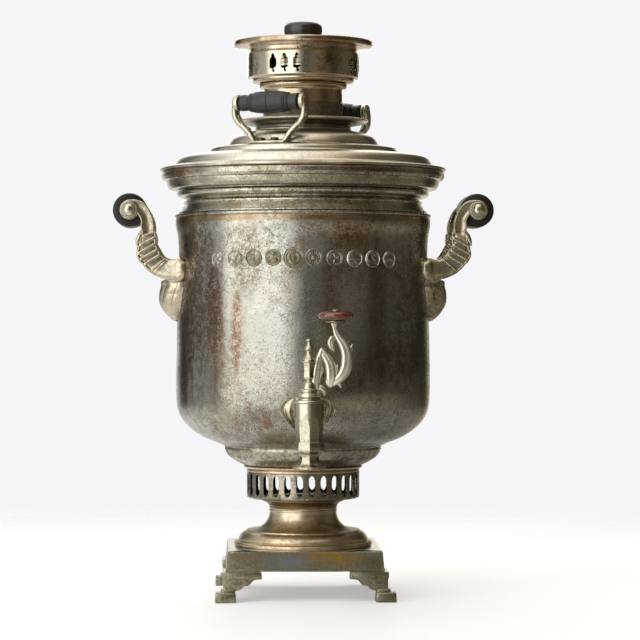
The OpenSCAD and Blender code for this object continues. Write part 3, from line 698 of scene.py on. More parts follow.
# ------------------------------------------------------------------ base and feet
NP, BB, CB, BW, XW, ST, CI = "nickel_plate", "bare_brass", "cast_brass", "black_wood", "brown_wood", "steel", "iron"


def dents(o, amount, scale):
    """Moves the surface a little, as on an old casting."""
    for v in o.data.vertices:
        n = noise.noise_vector(v.co * scale)
        v.co += n * amount


bm = bmesh.new()
# the plate: a hollow square with sloping sides and a lip at the foot
outer = [(74.5, 28.0), (74.5, 29.6), (73.9, 30.2), (72.7, 45.2), (72.2, 46.2), (71.4, 46.5)]
rings = []
prof = [(40.0, 46.5)] + list(reversed(outer)) + [(70.5, 28.0), (70.3, 43.4), (40.0, 43.4)]
N4 = 24
for h, z in prof:
    ring = []
    corner = 0.9 if h > 45 else h
    for q in range(4):
        a0 = math.radians(90 * q)
        if h <= 40.01:
            for i in range(N4):
                a = a0 - math.pi / 4 + math.pi / 2 * i / N4
                ring.append(bm.verts.new((40 * math.cos(a), 40 * math.sin(a), z)))
        else:
            for i in range(N4):
                s = -1 + 2 * i / N4
                x, y = h, h * s
                k = max(0.0, abs(s) - 0.985) / 0.015
                x -= 0.5 * k
                ca, sa = math.cos(a0), math.sin(a0)
                ring.append(bm.verts.new((x * ca - y * sa, x * sa + y * ca, z)))
    rings.append(ring)
for i in range(len(rings)):
    a, c = rings[i], rings[(i + 1) % len(rings)]
    for k in range(len(a)):
        bm.faces.new((a[k], a[(k + 1) % len(a)], c[(k + 1) % len(a)], c[k]))
bmesh.ops.subdivide_edges(bm, edges=[e for e in bm.edges if e.calc_length() > 9 and abs(e.verts[0].co.z - e.verts[1].co.z) > 9], cuts=3)
o = finish_bm("base_plate_cast", bm, M_base, "root", ["base_plate"], sharp=28)
dents(o, 0.00022, 34)

foot_edge = ([(76.3, 28.0), (41.8, 28.0), (41.2, 27.2), (40.8, 24.5), (40.9, 21.9), (41.6, 21.2)] +
             [(45.2, 21.0), (48.2, 20.4), (49.8, 19.0)] + [(50.4, 18.6), (50.9, 17.6), (52.4, 15.9), (54.6, 15.1)] +
             [(57.4, 14.9), (58.2, 14.0), (59.6, 12.2), (62.0, 11.0), (64.6, 10.4), (66.0, 10.0), (77.0, 10.0)])


def foot(name, node, sx, sy):
    bm = bmesh.new()
    place = Matrix.Diagonal((sx, sy, 1, 1))
    # the two leaves of the bracket
    add_prism(bm, foot_edge, 71.9, 76.9, bevel=0.7, seg=2)
    tmp = bmesh.new()
    add_prism(tmp, foot_edge, 71.9, 76.9, bevel=0.7, seg=2)
    bmesh.ops.transform(tmp, matrix=Matrix(((0, 1, 0, 0), (1, 0, 0, 0), (0, 0, 1, 0), (0, 0, 0, 1))), verts=tmp.verts)
    merge(bm, tmp)
    # raised top moulding and ledge
    for sw in (0, 1):
        tmp = bmesh.new()
        add_prism(tmp, [(41.0, 21.6), (77.2, 21.6), (77.0, 27.9), (41.4, 27.9)], 76.2, 77.6, bevel=0.6, seg=2)
        if sw:
            bmesh.ops.transform(tmp, matrix=Matrix(((0, 1, 0, 0), (1, 0, 0, 0), (0, 0, 1, 0), (0, 0, 0, 1))), verts=tmp.verts)
        merge(bm, tmp)
    add_box(bm, (64.9, 64.9, 0.0), (84.5, 84.5, 9.2), bevel=1.3, seg=3, top=(0.5, 0.5))
    add_box(bm, (65.6, 65.6, 8.8), (79.6, 79.6, 12.4), bevel=0.8, seg=2, top=(1.0, 1.0))
    o = finish_bm(name, bm, M_base, "root", [node], sharp=30, place=place)
    dents(o, 0.0002, 60)
    return o


foot("foot_fl_cast", "foot_front_left", -1, -1)
foot("foot_fr_cast", "foot_front_right", 1, -1)
foot("foot_rl_cast", "foot_rear_left", -1, 1)
foot("foot_rr_cast", "foot_rear_right", 1, 1)

# ------------------------------------------------------------------ spun pieces
SEG = 224 if FINE else 128
S = 1  # corner mark
ped = spline([(64.6, 46.5, S), (65.8, 46.9), (66.4, 48.5), (65.9, 50.1), (64.9, 50.7, S), (62.6, 50.9, S), (61.8, 51.7, S),
              (62.1, 52.7), (61.0, 55.6), (58.0, 58.7), (55.2, 60.2, S), (54.4, 60.4, S), (54.2, 61.4, S), (48.5, 61.9), (42.2, 63.3),
              (38.0, 66.3), (34.8, 70.2), (33.0, 74), (32.25, 77.6), (32.2, 79.2, S)], 8)
lathe("pedestal_spun", sheet_loop(ped, 1.6), M_bronze, "root", ["pedestal"], seg=SEG, warp=wobble(0.10))
cup = spline([(32.2, 79.25, S), (32.5, 79.6), (32.6, 80.3), (32.45, 81.0), (32.2, 81.4, S), (32.4, 83.0), (32.9, 84.8), (34.2, 86.6),
              (36.4, 88.2), (38.4, 89.0, S), (39.2, 89.3, S), (39.6, 90.3), (42.2, 91.3), (46.4, 92.0)], 8)
lathe("pedestal_cup_spun", sheet_loop(cup, 1.4), M_bronze, "root", ["pedestal_cup"], seg=SEG, warp=wobble(0.08))

# air ring: floor with a rounded corner, then the pierced wall
def air_slot():
    half = [(0.0, 94.9), (1.3, 95.9), (2.4, 97.3), (3.05, 99.2), (3.25, 101.2), (3.25, 106), (3.25, 110.2), (3.0, 112.2), (2.3, 113.9), (1.2, 115.2), (0.0, 116.0)]
    return half + [(-p[0], p[1]) for p in reversed(half[1:-1])]

bm = bmesh.new()
pitch = 2 * math.pi / 29
pierced_band(bm, 54.0, 52.5, 94.0, 117.0, [(math.radians(-5.4) + i * pitch, pitch, air_slot()) for i in range(29)], rows=22, cols=6)
floor_p = spline([(42, 92.05, S), (52.0, 92.05), (53.3, 92.5), (53.9, 93.4), (54.0, 94.0, S)], 8)
add_lathe(bm, sheet_loop(floor_p, 1.4), 174)
finish_bm("air_ring_pierced", bm, M_gallery, "root", ["blower_gallery"], sharp=32)
lip = spline([(50.2, 117.05, S), (53.4, 117.05), (54.2, 118.2), (53.8, 119.6, S), (53.0, 120.0, S), (54.6, 120.4), (56.6, 121.6), (56.9, 122.4),
              (56.2, 123.0, S), (50.2, 123.0, S), (50.2, 117.05)], 6)[:-1]
lathe("air_ring_lip", lip, M_bronze, "root", ["gallery_lip"], seg=SEG, warp=wobble(0.08))

bowl = spline([(50.05, 123.05, S), (54.2, 123.05, S), (57.4, 124.0), (61.4, 126.0), (66.4, 128.8), (70.8, 132.0), (73.5, 135.8), (74.9, 139.4),
               (74.9, 141.3, S), (75.7, 142.5)], 8)
lathe("body_bottom_spun", sheet_loop(bowl, 1.4), M_bowl, "root", ["body_bottom"], seg=SEG, warp=wobble(0.35))

wall_ctrl = [(76, 142.6, S), (78.6, 143.6), (81.6, 145.1), (87.7, 147.3), (92.4, 149.2), (96.2, 151.1), (100, 153.3), (103.4, 155.5),
             (106.5, 157.9), (110.2, 161.2), (114.0, 165.3), (116.9, 169.5), (118.9, 173.6), (120.3, 178.2), (121.1, 183), (121.6, 190),
             (121.9, 210), (121.4, 235), (121, 253), (120, 290), (119.3, 330), (120.3, 344), (121.7, 351), (122.1, 356), (121.9, 359.4),
             (121.5, 360.3, S), (122.4, 360.9), (122.75, 362.0), (122.3, 363.1), (121.2, 363.5, S), (119.0, 363.5, S), (109.5, 363.5)]
wall = spline(wall_ctrl, 5)
wall_warp = wobble(0.42, 0.016, 0.12)
lathe("body_wall_spun", sheet_loop(wall, 1.3), M_wall, "root", ["body_wall"], seg=SEG + 32, warp=wall_warp, sharp=40)


def wall_r(z, a=-math.pi / 2):
    """Radius of the finished wall's outside at height z and angle a."""
    for p, q in zip(wall, wall[1:]):
        if p.y <= z <= q.y and q.y > p.y:
            r = p.x + (q.x - p.x) * (z - p.y) / (q.y - p.y)
            return wall_warp(r, z, a)[0]
    return wall_warp(120.0, z, a)[0]


rim = spline([(118.4, 363.6, S), (119.4, 364.6), (118.6, 366.2, S), (117.0, 366.6, S), (115.2, 369.8), (113.5, 372.9, S), (114.4, 373.4), (114.6, 374.5), (114.1, 375.4), (112.6, 375.7, S), (111.8, 377.2), (112.0, 378.5, S),
              (115.4, 378.9, S), (118.4, 379.7), (120.7, 381.7), (120.8, 383.9), (118.9, 385.6), (117.5, 386.2, S), (117.6, 386.8, S), (124.4, 386.9),
              (127.9, 387.7), (129.4, 389.6), (130.2, 392.4), (130.9, 395.4, S), (132.2, 395.7, S), (134.4, 396.7), (134.9, 397.8, S), (135.5, 398.4),
              (135.6, 400.6), (135.3, 402.9, S), (134.4, 404.1, S), (110.4, 404.2)], 6)
lathe("rim_ring_spun", sheet_loop(rim, 1.3), M_rim, "root", ["rim_ring", "rim_cove"], seg=SEG, warp=wobble(0.25), sharp=30)

# ------------------------------------------------------------------ lid
lid = spline([(136.7, 405.2, S), (137.1, 405.7), (137.15, 406.6), (136.4, 407.5), (134.6, 408.1), (130, 408.5), (126.4, 409.0), (124.9, 409.6, S), (124.0, 410.4),
              (123.2, 412.0), (122.2, 413.9), (121, 415.6), (119.4, 417.1), (116.6, 418.5), (112, 419.7), (106, 420.4), (98, 420.9), (92.2, 421.15, S), (91.0, 421.5),
              (90.5, 422.4), (90.3, 424), (89.4, 426), (87.4, 427.1), (83.4, 427.5), (77, 427.75), (73.6, 428.0, S), (72.7, 428.7), (72.3, 430.3), (71.5, 432.6),
              (70.4, 434.7), (68.8, 436.7), (66.6, 438.4), (64.6, 439.35), (62, 440.25), (58, 441.35), (54, 442.25), (50, 443.0), (46, 443.6), (40, 443.65)], 7)
bm = bmesh.new()
add_lathe(bm, sheet_loop(lid, 1.2), SEG, wobble(0.3, 0.014))
skirt = [Vector(p) for p in [(107.6, 396), (109.4, 396), (109.6, 404.3), (133.9, 404.3), (136.7, 405.25), (136.3, 406.1), (107.6, 405.6)]]
add_lathe(bm, skirt, SEG)
finish_bm("lid_spun", bm, M_lid, "lid", ["lid_shell"], sharp=32)
collar = spline([(44, 443.7, S), (46.8, 443.7, S), (46.6, 444.8), (46.0, 446.0), (45.9, 447.6), (46.4, 448.5, S), (48.2, 448.9), (50.4, 449.25, S), (50.8, 449.5, S),
                 (54, 449.9), (58, 450.8), (61.4, 452.1), (62.5, 452.8), (62.7, 453.5), (62.2, 454.2), (60.4, 454.5), (54, 454.9), (47.5, 455.5), (42.0, 456.4),
                 (39.6, 457.2), (38.9, 457.2, S), (38.9, 455.4, S), (44, 454, S), (44, 443.7)], 6)[:-1]
lathe("lid_collar_spun", collar, M_lid, "lid", ["lid_collar"], seg=SEG, warp=wobble(0.15))

# ------------------------------------------------------------------ crown
sleeve = spline([(36.9, 470.0, S), (37.4, 470.0, S), (37.4, 470.9, S), (38.3, 471.1, S), (38.3, 477), (38.4, 483.6), (38.9, 484.2, S), (41.2, 484.5), (42.5, 485.8), (42.6, 487.6),
                 (41.8, 488.8), (40.6, 489.25, S), (36.9, 489.25, S), (36.9, 470.0)], 6)[:-1]
lathe("crown_sleeve_spun", sleeve, M_crown, "crown", ["crown_sleeve"], seg=SEG, warp=wobble(0.1))


def draft_hole():
    # small round eye below, straight-sided body, narrow pointed arch on top
    half = [(0.9, 496.2), (1.6, 496.8), (2.0, 497.9), (1.6, 498.9), (0.6, 499.4), (0.7, 499.9), (2.7, 500.1), (3.5, 500.7), (3.9, 502.4), (3.95, 505.5), (3.85, 508.2), (3.4, 509.7),
            (2.4, 510.5), (1.9, 510.9), (2.25, 511.8), (1.9, 513.0), (1.0, 514.6)]
    return [(0.0, 496.0)] + half + [(0.0, 515.5)] + [(-p[0], p[1]) for p in reversed(half)]


bm = bmesh.new()
low = spline([(38.6, 489.3, S), (45.0, 489.35), (47.8, 490.0), (49.2, 491.4), (49.35, 492.8, S), (49.9, 493.8, S), (52.6, 494.2), (53.5, 494.6), (53.7, 495.2, S)], 7)
add_lathe(bm, sheet_loop(low, 1.3), 240)
neck = spline([(53.7, 516.4, S), (53.5, 517.3), (52.9, 517.9), (52.1, 518.2, S), (51.9, 518.9), (51.9, 521.8, S)], 6)
add_lathe(bm, sheet_loop(neck, 1.3), 240)
hole = draft_hole()
panels = []
CT = math.radians(21)  # groups sit this far to the left of the front
for g in range(4):
    c = -CT + g * math.pi / 2
    for k in (-1, 0, 1):
        panels.append((c + k * math.radians(13), math.radians(13), hole))
    rest = math.radians(90 - 39)
    for k in range(3):
        panels.append((c + math.radians(19.5) + rest * (k + 0.5) / 3, rest / 3, None))
pierced_band(bm, 53.7, 52.4, 495.2, 516.4, panels, rows=28, cols=9, rings=3)
o = finish_bm("crown_cup_pierced", bm, M_crown, "crown", ["crown_cup"], sharp=32)
flange = spline([(50.6, 521.85, S), (53.4, 521.85), (54.6, 522.3), (56.6, 522.8), (60, 523.3), (64.6, 523.9), (66.3, 524.4), (67.0, 525.6), (67.1, 527.4), (66.8, 529.0),
                 (65.9, 529.8, S), (48.4, 529.8, S), (48.4, 529.0, S), (45, 529.0, S), (45, 527.6, S), (50.6, 526.8, S), (50.6, 521.85)], 6)[:-1]
lathe("crown_flange_spun", flange, M_crown, "crown", ["crown_flange"], seg=SEG, warp=wobble(0.2))
ribs = []
for k in range(7):
    zc = 525.0 - 3.1 * k
    ribs += [(44.1, zc + 1.0, S), (44.6, zc + 0.6), (44.75, zc), (44.6, zc - 0.6), (44.1, zc - 1.0, S)]
plate = spline([(0, 532.7, S), (12, 532.6), (30, 532.2), (44, 531.5), (47.3, 530.8), (47.8, 530.0), (47.6, 529.1, S), (44.1, 529.1, S)] + ribs +
               [(44.1, 503.6, S), (43.2, 503.6, S), (43, 529.2, S), (30, 530.7), (0, 531.2, S)], 5)
lathe("damper_plate_spun", plate, M_crown, "damper_cap", ["damper_plate", "damper_skirt"], seg=SEG)
knob = spline([(0, 532.75, S), (11.0, 532.75, S), (14.6, 533.4), (17.2, 535.4), (18.5, 538.4), (18.7, 541.4), (18.2, 544.6), (15.8, 547.2), (10, 548.3), (0, 548.6)], 8)
lathe("damper_knob_turned", knob, M_walnut, "damper_cap", ["damper_knob", "damper_screw"], seg=96)

# ------------------------------------------------------------------ side handles
GX, GZ = 165.5, 367.0
arm_pairs = [((165.5, 376.2), (165.5, 368.5)), ((159.5, 376.2), (162, 366.5)), ((154.2, 374.6), (158.8, 364.0)), ((149.6, 371.2), (156.6, 361.0)),
             ((146.3, 366.5), (155.2, 358.4)), ((143.7, 360.6), (154.6, 355.2)), ((142.0, 353.6), (155.0, 350.8)), ((142.0, 347.6), (154.0, 346.6)),
             ((142.6, 343.4), (154.6, 342.6)), ((141.6, 339.8), (156.6, 337.8)), ((139.4, 335.8), (158.6, 331.4)), ((137.2, 332.0), (159.0, 325.4)),
             ((135.0, 328.2), (157.0, 319.6)), ((132.6, 324.6), (153.0, 313.6)), ((130.0, 322.0), (147.6, 308.4)), ((127.2, 320.6), (141.0, 304.6)),
             ((123.4, 320.6), (133.6, 301.8)), ((119.8, 321.4), (126.6, 300.6)), ((117.4, 321.8), (120.4, 300.4))]


def handle(name, node, sx):
    place = Matrix.Diagonal((sx, 1, 1, 1))
    bm = bmesh.new()
    for side in (-1, 1):
        yc = side * 31.5
        st = []
        for k, (q, w) in enumerate(arm_pairs):
            q, w = Vector((q[0], yc, q[1])), Vector((w[0], yc, w[1]))
            th = 4.1 if k < 8 else 4.6
            if k == 0:
                th = 3.4
            if k > 15:
                th = 4.6 + (k - 15) * 0.9
            st.append(((q + w) / 2, (q - w) / 2, Vector((0, th, 0))))

        def mod(u, a):
            # slimmer under the bars, a channel along the scroll
            mx = my = 1.0
            if 8.4 < u < 14.6:
                k = min(1.0, (u - 8.4) / 0.8, (14.6 - u) / 0.8)
                my = 1 - 0.24 * k
                mx = 1 - 0.05 * k
            elif u <= 8.4:
                c = math.cos(a)
                my = 1.0 - 0.42 * math.exp(-((c / 0.5) ** 2)) * min(1, u / 1.5) * min(1, (8.4 - u) / 0.8)
            return mx, my
        add_sweep(bm, st, sub=8 if FINE else 5, n=40, p=3.4, mod=mod, cap=2)
        # bars across the crank, with a strip along each end
        bars = [((141.4, 346.0), (154.2, 340.4), 1.0, 4.9), ((141.0, 340.6), (155.6, 333.0), 2.35, 5.3), ((141.2, 334.2), (157.6, 325.0), 2.2, 5.4),
                ((138.8, 329.0), (155.6, 319.4), 2.1, 5.4), ((136.4, 324.2), (151.4, 315.0), 2.0, 5.3), ((131.6, 320.8), (144.6, 308.6), 1.3, 5.0)]
        for q, w, hw, ht in bars:
            q, w = Vector((q[0], yc, q[1])), Vector((w[0], yc, w[1]))
            d = (w - q).normalized()
            nrm = Vector((-d.z, 0, d.x))
            q, w = q + d * 0.6, w - d * 0.6
            st2 = [(q + (w - q) * f, nrm * hw, Vector((0, ht, 0))) for f in (0, 0.33, 0.66, 1)]
            add_sweep(bm, st2, sub=4, n=24, p=3.2, cap=3)
        for ends, r2 in ((0, 1.0), (1, 1.15)):
            for sy in (-1, 1):
                pts = [(b2[ends][0], yc + sy * 3.9, b2[ends][1]) for b2 in bars]
                add_sweep(bm, tube_stations(pts, [0.6] + [r2] * (len(pts) - 2) + [0.5]), sub=5, n=12, p=2.0, cap=2)
        # scroll end: stepped disc with a rolled edge
        fr = Matrix.Translation((GX, yc, GZ)) @ Matrix.Rotation(math.radians(90), 4, "X")
        disc = spline([(3.02, -4.5, S), (7.6, -4.5, S), (8.3, -4.4), (9.2, -3.2), (9.4, 0.0), (9.2, 3.2), (8.3, 4.4), (7.6, 4.5, S), (3.02, 4.5, S)], 5)
        add_lathe(bm, disc, 64, frame=fr)
        # rolled lips along both edges of the scroll
        for idx, rr in ((0, 1.25), (1, 1.05)):
            pts = []
            for k in range(0, 9):
                q = arm_pairs[k][idx]
                other = arm_pairs[k][1 - idx]
                d = Vector((other[0] - q[0], other[1] - q[1])).normalized() * 1.1
                pts.append((q[0] + d.x, yc + side * 3.6, q[1] + d.y))
            if idx == 0:
                pts = [(GX + 8.0 * math.sin(math.radians(t)), yc + side * 3.6, GZ + 8.0 * math.cos(math.radians(t))) for t in (150, 110, 70, 35)] + pts
            rad = [rr] * len(pts)
            rad[-1] = 0.4
            rad[0] = 0.5
            add_sweep(bm, tube_stations(pts, rad), sub=5, n=12, p=2.0, cap=2)
        # leaf tip that curls out under the scroll
        tip = [(152.0, yc + side * 1.5, 347.0), (155.4, yc + side * 2.0, 342.0), (157.6, yc + side * 2.4, 337.0), (158.6, yc + side * 2.6, 333.2)]
        add_sweep(bm, tube_stations(tip, [2.2, 2.6, 2.0, 0.7], flat=0.9), sub=5, n=14, p=2.2, cap=2)
    # saddle that joins the arms, against the wall
    st = []
    for yy, hx, hz, zc in ((-36.2, 6.4, 10.0, 309.6), (-30, 8.4, 12.2, 308.6), (-16, 8.2, 12.0, 308.2), (0, 8.4, 12.2, 308.0), (16, 8.2, 12.0, 308.2),
                           (30, 8.4, 12.2, 308.6), (36.2, 6.4, 10.0, 309.6)):
        rr = wall_r(311)
        xw = math.sqrt(rr * rr - yy * yy)
        st.append((Vector((xw + hx - 2.2, yy, zc)), Vector((hx, 0, 0)), Vector((0, 0, hz))))
    add_sweep(bm, st, sub=6, n=36, p=2.5, cap=3)
    # fluted leaf on the wall
    nb, na = 48, 120
    grid = []
    for j in range(nb + 1):
        bq = j / nb
        zc = 300.5 - 38.6 * bq
        hwid = 35.5 * math.sqrt(max(0.0, 1 - (max(0.0, bq - 0.10) / 0.90) ** 2.4)) * (0.95 + 0.05 * math.sin(math.pi * min(1, bq * 3)))
        row = []
        for i in range(na + 1):
            psi = -math.pi / 2 + math.pi * i / na
            aq = math.sin(psi)
            yy = aq * max(0.4, hwid)
            zz = zc - 1.2 * math.cos(psi) * bq
            bulge = 11.0 + 6.4 * math.sin(math.pi * min(1.0, 0.12 + bq * 0.95)) ** 0.8
            bulge *= math.sqrt(max(0.0, 1 - max(0.0, (bq - 0.55) / 0.45) ** 2.2))
            flute = 0.66 + 0.38 * abs(math.cos((abs(psi) + 0.5 * (bq - 0.4)) * 4.2)) ** 0.7
            lip = 1.0 + 0.10 * math.exp(-((bq - 0.05) / 0.05) ** 2)
            off = max(0.0, bulge * math.cos(psi) ** 0.62 * flute * lip)
            rr = wall_r(zz) + 0.15 + off
            yy2 = max(-rr, min(rr, yy * (1 + 0.035 * (flute - 0.9))))
            row.append(bm.verts.new((math.sqrt(max(1.0, rr * rr - yy2 * yy2)), yy2, zz)))
        grid.append(row)
    for j in range(nb):
        for i in range(na):
            bm.faces.new((grid[j][i], grid[j][i + 1], grid[j + 1][i + 1], grid[j + 1][i]))
    back = []
    for j in range(nb + 1):
        row = []
        for i in range(na + 1):
            v = grid[j][i].co
            rr = wall_r(v.z) + 0.1
            yy = v.y
            row.append(bm.verts.new((math.sqrt(max(1.0, rr * rr - yy * yy)), yy, v.z)))
        back.append(row)
    for j in range(nb):
        for i in range(na):
            bm.faces.new((back[j][i], back[j + 1][i], back[j + 1][i + 1], back[j][i + 1]))
    for a, c in ((grid[0], back[0]), (grid[-1], back[-1])):
        for i in range(na):
            bm.faces.new((a[i], a[i + 1], c[i + 1], c[i]))
    for i in (0, na):
        for j in range(nb):
            bm.faces.new((grid[j][i], grid[j + 1][i], back[j + 1][i], back[j][i]))
    finish_bm(name, bm, M_handle, "root", [node], sharp=42, place=place)


handle("handle_right_cast", "handle_right", 1)
handle("handle_left_cast", "handle_left", -1)

bm = bmesh.new()
dome = spline([(0, 0.05, S), (7.4, 0.05, S), (7.5, 0.8), (7.0, 1.5), (6.2, 1.5, S), (5.7, 1.6, S), (5.6, 2.8), (4.6, 4.6), (2.6, 5.7), (0, 6.0)], 5)
for s in (-1, 1):
    for e in (-1, 1):
        add_lathe(bm, dome, 48, frame=Matrix.Translation((s * GX, e * 36.0, GZ)) @ Matrix.Rotation(math.radians(-90 * e), 4, "X"))
finish_bm("grip_caps_turned", bm, M_cast, "root", ["grip_caps"])
grip = spline([(3.06, -26.6, S), (14.2, -26.6), (15.4, -26.0), (15.9, -24.8), (15.9, -23.4), (15.2, -22.6, S), (14.4, -22.4, S), (14.6, -21.6, S), (15.6, -20.8), (16.2, -17), (16.3, -8),
               (16.3, 0), (16.3, 8), (16.2, 17), (15.6, 20.8), (14.6, 21.6, S), (14.4, 22.4, S), (15.2, 22.6, S), (15.9, 23.4), (15.9, 24.8), (15.4, 26.0), (14.2, 26.6),
               (3.06, 26.6, S)], 6)
for s, nm in ((-1, "left"), (1, "right")):
    lathe(f"grip_{nm}_turned", grip, M_ebony, f"grip_{nm}", [f"grip_{nm}"], seg=96,
          place=Matrix.Translation((s * GX, 0, GZ)) @ Matrix.Rotation(math.radians(90), 4, "X"), sharp=30)

# ------------------------------------------------------------------ lid handles
LT, LZ = 26.0, 466.2
half = [(2.26, -29.5, S), (6.9, -29.5), (7.5, -29.0), (7.7, -27.0), (7.7, -20.6), (8.0, -19.9, S), (8.7, -19.6, S), (8.85, -18.9), (8.7, -18.2, S), (8.4, -18.0, S),
        (8.4, -17.5, S), (8.9, -17.3, S), (9.15, -16.7), (9.1, -16.1, S), (9.4, -15.5), (10.0, -11), (10.5, -5), (10.6, -0.7, S), (10.2, -0.35, S)]
lgrip = spline(half + [(p[0], -p[1]) + tuple(p[2:]) for p in reversed(half)], 5)
for nm, ang in (("front", -LT), ("rear", 180 - LT)):
    R = Matrix.Rotation(math.radians(ang), 4, "Z")
    lathe(f"lid_grip_{nm}_turned", lgrip, M_ebony_x, f"lid_grip_{nm}", [f"lid_grip_{nm}"], seg=96,
          place=R @ Matrix.Translation((0, -75, LZ)) @ Matrix.Rotation(math.radians(90), 4, "Y"), sharp=30)
    bm = bmesh.new()
    for s in (-1, 1):
        # eye that holds the rod
        add_lathe(bm, spline([(2.22, -2.6, S), (6.9, -2.6), (7.8, -1.9), (8.0, 0), (7.8, 1.7), (7.1, 2.5, S), (6.4, 2.5, S), (6.1, 1.9, S), (2.22, 1.9, S)], 4), 56,
                  frame=Matrix.Translation((s * 33.6, -75, LZ)) @ Matrix.Rotation(math.radians(90 * s), 4, "Y"))
        # outer leaf: broad strap from the eye down to a curled tip
        path = [(s * 34.4, 471.0), (s * 35.5, 465.0), (s * 35.6, 458.5), (s * 34.6, 452.6), (s * 31.8, 448.0), (s * 28.0, 444.2), (s * 24.6, 441.6)]
        st = []
        for k, q in enumerate(path):
            a = Vector((path[min(k + 1, 6)][0] - path[max(k - 1, 0)][0], 0, path[min(k + 1, 6)][1] - path[max(k - 1, 0)][1])).normalized()
            side = Vector((-a.z, 0, a.x))
            wd = [2.0, 2.6, 3.0, 3.1, 2.9, 2.3, 1.1][k]
            st.append((Vector((q[0], -75, q[1])), side * wd, Vector((0, [4.6, 5.2, 5.4, 5.2, 4.8, 3.8, 2.0][k], 0))))
        add_sweep(bm, st, sub=6, n=20, p=2.6, cap=3)
        # curl at the tip
        curl = [(s * 28.0, -75, 444.4), (s * 25.0, -75, 441.4), (s * 22.8, -75, 440.6), (s * 21.6, -75, 441.8), (s * 22.4, -75, 443.2)]
        add_sweep(bm, tube_stations(curl, [1.6, 1.9, 1.7, 1.4, 0.9], flat=2.0), sub=5, n=14, p=2.0, cap=2)
        # lower leg down to the foot plate
        path = [(s * 33.2, 453.4), (s * 30.4, 447.6), (s * 26.2, 442.8), (s * 21.8, 438.4), (s * 18.4, 433.8), (s * 16.0, 429.6)]
        st = []
        for k, q in enumerate(path):
            a = Vector((path[min(k + 1, 5)][0] - path[max(k - 1, 0)][0], 0, path[min(k + 1, 5)][1] - path[max(k - 1, 0)][1])).normalized()
            side = Vector((-a.z, 0, a.x))
            st.append((Vector((q[0], [-74.8, -74.9, -75.2, -75.6, -76.0, -76.6][k], q[1])), side * 2.5, Vector((0, [3.4, 3.8, 4.0, 4.0, 3.8, 3.6][k], 0))))
        add_sweep(bm, st, sub=6, n=20, p=3.0, cap=2)
    # foot plate bent to the dome, with a turned-out toe on the step
    fp = spline([(88.0, 427.5, S), (88.6, 428.3), (88.2, 429.4, S), (83.4, 429.9), (77.4, 430.3), (75.4, 430.9), (74.5, 432.2), (73.6, 434.3), (72.3, 436.7), (70.4, 438.9),
                 (67.8, 441.0), (66.3, 441.5, S), (65.6, 439.6, S), (66.9, 438.8), (69.15, 437.0), (70.85, 434.9), (72.0, 432.7), (72.7, 430.4), (73.1, 428.8, S), (74.6, 428.15),
                 (83.4, 427.85), (88.0, 427.5)], 5)[:-1]
    nseg = 36
    rings = []
    for k in range(nseg + 1):
        x = -18.4 + 36.8 * k / nseg
        e = 1.0 if abs(x) < 17 else 0.90
        ring = []
        for q in fp:
            rr = q.x
            yy = -math.sqrt(max(1, rr * rr - x * x))
            ring.append(bm.verts.new((x, yy, q.y if e == 1 else q.y)))
        rings.append(ring)
    nn = len(fp)
    for a, c in zip(rings, rings[1:]):
        for k in range(nn):
            bm.faces.new((a[k], a[(k + 1) % nn], c[(k + 1) % nn], c[k]))
    bm.faces.new(rings[0])
    bm.faces.new(list(reversed(rings[-1])))
    bmesh.ops.triangulate(bm, faces=[f for f in bm.faces if len(f.verts) > 4])
    finish_bm(f"lid_handle_{nm}_cast", bm, M_cast, "lid", [f"lid_handle_{nm}"], sharp=42, place=R)

bm = bmesh.new()
head = spline([(0, -6.0, S), (1.8, -6.0, S), (1.8, -0.4, S), (3.9, -0.4, S), (4.05, 0.3), (3.8, 1.2, S), (0, 1.2, S)], 4)
caps = spline([(0, 0, S), (5.8, 0, S), (5.9, 0.5), (5.0, 1.4), (3.0, 2.2), (0, 2.6)], 5)
bm2 = bmesh.new()
for ang in (-LT, 180 - LT):
    R = Matrix.Rotation(math.radians(ang), 4, "Z")
    for x in (-6.8, 6.8):
        F = R @ Matrix.Translation((x, -80.2, 430.6))
        add_lathe(bm, head, 32, frame=F)
        for sgn in (0, 180):     # the two halves of the head, with the slot between them
            half = [(3.6 * math.cos(math.radians(10 + 160 * k / 14)), 3.6 * math.sin(math.radians(10 + 160 * k / 14))) for k in range(15)]
            tmp = bmesh.new()
            add_prism(tmp, half, -2.3, -1.1, bevel=0.35, seg=2)
            tmp.transform(F @ Matrix.Rotation(math.radians(20 + 8 * x + sgn), 4, "Z") @ Matrix.Rotation(math.radians(-90), 4, "X"))
            merge(bm, tmp)
    for s in (-1, 1):
        add_lathe(bm2, caps, 32, frame=R @ Matrix.Translation((s * 35.5, -75, LZ)) @ Matrix.Rotation(math.radians(90 * s), 4, "Y"))
finish_bm("lid_handle_screws_turned", bm, M_screw, "lid", ["lid_handle_screws"])
finish_bm("lid_grip_caps_turned", bm2, M_cast, "lid", ["lid_grip_caps"])

# ------------------------------------------------------------------ tap
TY = -162.0


def faceted(bm, rows, seg=96, faces=8, frame=None):
    """rows: (radius of the round body, apothem of the facets, z). The smaller of the two makes the surface."""
    rings = []
    half = math.pi / faces
    for rc, ap, z in rows:
        ring = []
        for i in range(seg):
            a = 2 * math.pi * i / seg
            ph = math.fmod(a + 2 * math.pi, 2 * half) - half
            ph = math.remainder(a + math.pi / 2 - half, 2 * half)
            r = min(rc, ap / math.cos(ph))
            co = Vector((r * math.cos(a), r * math.sin(a), z))
            ring.append(bm.verts.new(frame @ co if frame else co))
        rings.append(ring)
    for a, c in zip(rings, rings[1:]):
        for k in range(seg):
            bm.faces.new((a[k], a[(k + 1) % seg], c[(k + 1) % seg], c[k]))
    return rings


